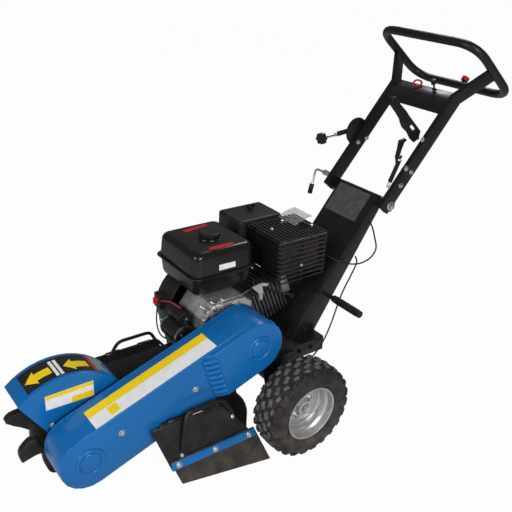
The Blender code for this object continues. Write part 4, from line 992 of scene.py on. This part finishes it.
dressed("blower_housing", "fan_shroud", moulded_black, 0.0022, 3)
dressed("recoil_cover", "recoil_case", moulded_black, 0.0022, 3)
vane = block((0.034, -0.0025, -0.0012), (0.072, 0.0025, 0.0012), 0.0006, 1)
vane_count = 28
fan_middle = Matrix.Translation((crank_x, -0.244, crank_z))
vane_tilt = Matrix.Rotation(math.radians(25.0), 4, "X")
places = []
for i in range(vane_count):
    places.append(fan_middle @ Matrix.Rotation(2 * math.pi * i / vane_count, 4, "Y") @ vane_tilt)
vanes = [copies(vane, places)]
for inner, outer in ((0.03, 0.0345), (0.0715, 0.076)):
    hoop = ((inner, -0.2425), (outer, -0.2425), (outer, -0.2462), (inner, -0.2462), (inner, -0.2425))
    vanes.append(turned(hoop, (crank_x, 0.0, crank_z), 64))
fitted(vanes, "recoil_vanes", moulded_black)
hub_cap = turned(((0.0, -0.2425), (0.026, -0.2425), (0.026, -0.2445), (0.022, -0.2466), (0.0, -0.247)),
                 (crank_x, 0.0, crank_z), 48)
fitted(hub_cap, "recoil_hub", silver_case)
spots = []
for turn in (30.0, 90.0, 150.0, 210.0, 270.0, 330.0):
    place = round_about(crank_x, -0.2348, crank_z, 0.088, [turn])[0]
    spots.append((place, (math.cos(math.radians(turn)), -1.0, math.sin(math.radians(turn)))))
bolts("recoil_bolts", spots, 0.005)
dressed("recoil_handle", "recoil_toggle", moulded_black, 0.0016, 3, "recoil_grip")
dressed("engine_switch", "key_knob", moulded_red, 0.001, body="ignition_key")

# Fuel tank: two steel pressings joined at a rolled flange, with a ribbed screw cap. The plates on
# it are bare.


def picked_edges(piece, wanted):
    """In edit mode with just the edges selected whose two ends pass the test."""
    take_up(piece)
    bpy.ops.mesh.select_mode(type="EDGE")
    bpy.ops.mesh.select_all(action="DESELECT")
    leave_edit()
    for edge in piece.data.edges:
        a, b = (piece.data.vertices[v].co for v in edge.vertices)
        edge.select = wanted(a, b)
    bpy.ops.object.mode_set(mode="EDIT")


def pressing(low, high, corner, crown, upward=True, taper=0.0, steps=7):
    """A drawn shell: upright corners rounded, the rim of its closed end crowned, its sides drawn in."""
    piece = block(low, high)
    tall = high[2] - low[2]
    picked_edges(piece, lambda a, b: abs(a.z - b.z) > 0.9 * tall)
    cut_edges(corner, steps)
    leave_edit()
    end = high[2] if upward else low[2]
    picked_edges(piece, lambda a, b: abs(a.z - end) < 1e-5 and abs(b.z - end) < 1e-5)
    cut_edges(crown, steps)
    closed_up(piece)
    middle = (Vector(low) + Vector(high)) / 2
    for vertex in piece.data.vertices:
        share = abs(vertex.co.z - (low[2] if upward else high[2])) / tall
        draw = 1.0 - taper * share**2
        vertex.co.x = middle.x + (vertex.co.x - middle.x) * draw
        vertex.co.y = middle.y + (vertex.co.y - middle.y) * draw
    smoothed(45.0)
    return piece


tank_coat = finish(
    "tank_gloss_black", "black_paint", (0.005, 0.0048, 0.0046), (0.008, 0.0078, 0.0074), (0.2, 0.3),
    cloud=5.0, grain=900.0, relief=0.08, depth=0.0002, sheen=0.36,
)
tank_upper = pressing((0.011, -0.2255, 0.566), (0.2455, 0.0155, 0.6474), 0.03, 0.019, taper=0.06)
tank_lower = pressing((0.013, -0.224, 0.49), (0.244, 0.014, 0.567), 0.028, 0.026, upward=False, taper=0.1)
tank_flange = block((0.003, -0.2335, 0.5632), (0.2535, 0.0235, 0.5694))
picked_edges(tank_flange, lambda a, b: abs(a.z - b.z) > 0.004)
cut_edges(0.029, 8)
leave_edit()
broken_edges(tank_flange, 0.0024, 3)
tank_stand = block((0.0755, -0.0695, 0.4788), (0.1895, -0.0505, 0.516), 0.002)
tank_neck = turned(((0.03, 0.6455), (0.0445, 0.6455), (0.0425, 0.6492), (0.0385, 0.65), (0.03, 0.65),
                    (0.03, 0.6455)), (0.12, -0.1, 0.0), 48, axis=(0.0, 0.0, 1.0))
smoothed(40.0)
tank = joined([tank_upper, tank_lower, tank_flange, tank_stand, tank_neck])
fitted(tank, "tank", tank_coat, stands_for=["fuel_tank"])
for name, corners in (
    ("tank_plate_front", ((0.173, -0.182), (0.0776, -0.194), (0.0782, -0.176), (0.173, -0.162))),
    ("tank_plate_near", ((0.173, -0.024), (0.082, -0.024), (0.086, -0.006), (0.177, -0.003))),
):
    plate_on(name, [(x, y, 0.6478) for x, y in corners], vinyl_red, (0.0, 0.0, 0.0006))
side_plate = ((0.156, 0.5995), (0.094, 0.5985), (0.094, 0.5805), (0.156, 0.5805))
side_plate = [(x, 0.0161 - 0.055 * (z - 0.58), z) for x, z in side_plate]
plate_on("tank_plate_side", side_plate, vinyl_white, (0.0, 0.0006, 0.0))
cap_place = Vector((0.12, -0.1, 0.6481))
cap_profile = (
    (0.0, 0.0022), (0.0345, 0.0022), (0.0352, 0.0035), (0.0352, 0.0135), (0.033, 0.016), (0.029, 0.017),
    (0.025, 0.0162), (0.0, 0.0158),
)
cap = turned(cap_profile, cap_place, 64, axis=(0.0, 0.0, 1.0))
smoothed(40.0)
cap_rib = block((0.0342, -0.0018, 0.0035), (0.0362, 0.0018, 0.014), 0.0006, 1)
places = [Matrix.Translation(cap_place) @ Matrix.Rotation(2 * math.pi * i / 24, 4, "Z") for i in range(24)]
bar_low, bar_high = Vector((-0.024, -0.0055, 0.015)), Vector((0.024, 0.0055, 0.017))
cap_bar = block(cap_place + bar_low, cap_place + bar_high, 0.0012)
cap_neck = rod(cap_place + Vector((0, 0, -0.004)), cap_place + Vector((0, 0, 0.003)), 0.0204, 32)
cap_parts = [cap, copies(cap_rib, places), cap_bar, cap_neck]
fitted(cap_parts, "tank_cap", moulded_black, "fuel_cap", ["fuel_cap"])

# Air cleaner: a moulded tray with a deep cover held by a wing nut, over the carburetor.

air_cover = pressing((-0.186, -0.2415, 0.5985), (-0.004, -0.1035, 0.6674), 0.014, 0.009)
air_lip = pressing((-0.1868, -0.2423, 0.5985), (-0.0032, -0.1027, 0.6045), 0.0145, 0.001)
fitted([air_cover, air_lip], "air_cover", moulded_black, stands_for=["air_cleaner_cover"])
dressed("air_cleaner_base", "air_tray", moulded_black, 0.002)
dressed("wing_nut", "cover_nut", black_coat, 0.0012, body="wing_nut", slot="bright_steel")
dressed("carburetor", "carburetor_body", cast_alloy, 0.002)
spots = [((-0.085 + dx, -0.158, 0.525 + dz), right) for dx in (-0.02, 0.02) for dz in (-0.01, 0.01)]
bolts("carburetor_bolts", spots, 0.0035)

# Exhaust: a hot steel box inside a cage of pressed bars, which run round its sides and across its
# top, with a bright pierced shield over the rear edge.

guard_low, guard_high = Vector((-0.238, -0.101, 0.505)), Vector((-0.028, 0.085, 0.661))


def hoop(low_z, high_z, corner=0.01, wall=0.0028):
    """One bar of the cage, bent round its four sides."""
    piece = block((guard_low.x, guard_low.y, low_z), (guard_high.x, guard_high.y, high_z))
    take_up(piece)
    bpy.ops.mesh.select_mode(type="FACE")
    bpy.ops.mesh.select_all(action="DESELECT")
    leave_edit()
    for face in piece.data.polygons:
        face.select = abs(face.normal.z) > 0.9
    bpy.ops.object.mode_set(mode="EDIT")
    bpy.ops.mesh.delete(type="ONLY_FACE")
    picked_edges(piece, lambda a, b: abs(a.z - b.z) > 0.9 * (high_z - low_z))
    cut_edges(corner, 5)
    leave_edit()
    skinned(piece, wall, -1.0)
    return broken_edges(piece, 0.0009, 2)


cage = [hoop(guard_low.z, guard_low.z + 0.006), hoop(0.648, 0.656)]
for i in range(1, 9):
    z = guard_low.z + 0.0162 * i
    cage.append(hoop(z, z + 0.0088))
roof_bar = block((-0.0045, guard_low.y + 0.0045, 0.6562), (0.0045, guard_high.y - 0.0045, 0.6606), 0.001)
roof_places = [Matrix.Translation((x, 0.0, 0.0)) for x in (-0.224 + 0.0152 * i for i in range(13))]
cage.append(copies(roof_bar, roof_places))
for y in (guard_low.y + 0.004, guard_high.y - 0.01):
    cage.append(block((guard_low.x + 0.006, y, 0.652), (guard_high.x - 0.006, y + 0.006, 0.6586), 0.0008))
for x in (guard_low.x + 0.01, -0.137, guard_high.x - 0.018):
    for y in (guard_low.y + 0.003, guard_high.y - 0.005):
        cage.append(block((x, y, guard_low.z + 0.002), (x + 0.008, y + 0.002, 0.655), 0.0004, 1))
for y in (guard_low.y + 0.014, -0.012, guard_high.y - 0.022):
    for x in (guard_low.x + 0.003, guard_high.x - 0.005):
        cage.append(block((x, y, guard_low.z + 0.002), (x + 0.002, y + 0.008, 0.655), 0.0004, 1))
fitted(cage, "exhaust_cage", tank_coat, stands_for=["muffler_guard"])
hot_steel = finish(
    "hot_steel", "dark_steel", (0.05, 0.04, 0.034), (0.085, 0.06, 0.045), (0.45, 0.7), metallic=0.6,
    cloud=20.0, grain=600.0, relief=0.35, fleck=(0.14, 0.07, 0.035), fleck_share=0.38,
)
dressed("muffler", "exhaust_box", hot_steel, 0.006, 4)
spots = [((-0.125, 0.0851, 0.56), left), ((-0.075, -0.02, 0.6607), up), ((-0.15, -0.06, 0.6607), up),
         ((-0.215, 0.02, 0.6607), up)]
bolts("cage_bolts", spots, 0.0048)
put_down()
bpy.ops.mesh.primitive_grid_add(x_subdivisions=9, y_subdivisions=12, size=1.0)
shield = bpy.context.active_object
shield.data.transform(Matrix.Scale(0.0715, 4, (1, 0, 0)) @ Matrix.Scale(0.093, 4, (0, 1, 0)))
take_up(shield, "OBJECT")
mesh_bars = shield.modifiers.new("holes", "WIREFRAME")
mesh_bars.thickness = 0.0032
mesh_bars.use_boundary = True
bpy.ops.object.modifier_apply(modifier="holes")
for vertex in shield.data.vertices:
    run = (0.0358 - vertex.co.x) / 0.0716
    rise = 0.0196 * (1.0 - (1.0 - run) ** 2)
    vertex.co = Vector((-0.165 - 0.071 * run, -0.0515 + vertex.co.y, 0.6612 + rise + vertex.co.z * 0.6))
bpy.ops.object.shade_flat()
fitted(shield, "pierced_shield", zinc, stands_for=["heat_shield"])

# Electric starter and loom: a black motor with its solenoid low at the front of the engine, and
# thin wires clipped between them, the switch and the block.

dressed("starter_motor", "starter", moulded_black, 0.003, 3)
bands = []
for y in (-0.088, 0.004):
    band = ((0.035, y), (0.0372, y), (0.0372, y + 0.004), (0.035, y + 0.004), (0.035, y))
    bands.append(turned(band, (0.2755, 0.0, 0.3705), 40))
fitted(bands, "starter_bands", zinc)
bolts("starter_bolts", [
    ((0.2755 + 0.022 * math.cos(a), 0.0152, 0.3705 + 0.022 * math.sin(a)), left) for a in (0.6, 3.7)
] + [((0.264, -0.0048, 0.4255), left)], 0.0045)
wire_red = finish(
    "wire_red", "red_plastic", (0.35, 0.02, 0.02), (0.28, 0.02, 0.02), (0.35, 0.5), cloud=50.0,
)
wire_green = finish(
    "wire_green", "cable_sheath", (0.02, 0.16, 0.08), (0.02, 0.12, 0.06), (0.35, 0.5), cloud=50.0,
)
for name, radius, paint, run in (
    ("wire_earth", 0.0024, moulded_black,
     ((0.264, -0.002, 0.434), (0.29, 0.02, 0.45), (0.275, 0.04, 0.405), (0.243, 0.046, 0.345))),
    ("wire_starter", 0.0026, wire_red,
     ((0.264, -0.04, 0.447), (0.288, -0.062, 0.47), (0.292, -0.104, 0.452), (0.284, -0.138, 0.436))),
    ("wire_switch", 0.0022, wire_green,
     ((0.284, -0.15, 0.402), (0.296, -0.12, 0.372), (0.306, -0.06, 0.335), (0.268, 0.03, 0.318))),
    ("wire_coil", 0.0024, moulded_black,
     ((0.284, -0.16, 0.404), (0.3, -0.14, 0.352), (0.304, -0.1, 0.318), (0.25, -0.06, 0.309))),
    ("wire_level", 0.0022, moulded_black,
     ((0.2, 0.052, 0.466), (0.225, 0.062, 0.448), (0.243, 0.058, 0.398), (0.236, 0.052, 0.33))),
):
    fitted(tube_along(bent_line(run, 0.04, 8), radius, 8), name, paint)

# Cables: the throttle's from the column to the carburetor and the brake's down to the axle, each
# a wire in a smooth black sheath, held at both ends and hanging free between them.

throttle_route = (
    (-0.409, 0.1055, 0.664), (-0.42, 0.11, 0.64), (-0.4328, 0.112, 0.6068), (-0.4457, 0.115, 0.5593),
    (-0.4227, 0.118, 0.5306), (-0.3755, 0.118, 0.5186), (-0.3283, 0.116, 0.5256), (-0.295, 0.112, 0.538),
    (-0.264, 0.09, 0.55), (-0.256, 0.04, 0.552), (-0.255, -0.04, 0.545), (-0.252, -0.095, 0.538),
    (-0.233, -0.122, 0.532), (-0.19, -0.132, 0.528), (-0.15, -0.134, 0.526), (-0.1185, -0.134, 0.525),
)
brake_route = (
    (-0.3559, 0.1055, 0.5449), (-0.349, 0.122, 0.528), (-0.324, 0.124, 0.482), (-0.2925, 0.121, 0.4148),
    (-0.2353, 0.14, 0.3165), (-0.1905, 0.155, 0.2695), (-0.14, 0.167, 0.238), (-0.09, 0.17, 0.215),
    (-0.05, 0.168, 0.195), (-0.02, 0.164, 0.18),
)
cable_radius = 0.0028
sheath = finish(
    "cable_sheath", "cable_sheath", (0.009, 0.009, 0.009), (0.015, 0.015, 0.015), (0.32, 0.46),
    cloud=30.0, grain=1600.0,
)


def flowing(points, steps):
    """A smooth line through points."""
    points = [stance @ Vector(p) for p in points]
    ends = [points[0] * 2 - points[1], *points, points[-1] * 2 - points[-2]]
    path = []
    for a, b, c, d in zip(ends, ends[1:], ends[2:], ends[3:]):
        for k in range(steps):
            t = k / steps
            square = (2 * a - 5 * b + 4 * c - d) * t**2
            cube = (3 * b - a - 3 * c + d) * t**3
            path.append(0.5 * (2 * b + (c - a) * t + square + cube))
    return [*path, points[-1]]


for node, route in (("throttle_cable", throttle_route), ("brake_cable", brake_route)):
    path = flowing(route, 6)
    cable = swept(f"{node}_run", path, cable_radius, 3)
    cable.data.materials.append(sheath)
    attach(cable, "chassis")
    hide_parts(node)
    reach = sum((b - a).length for a, b in zip(path, path[1:]))
    tuple(path[0])
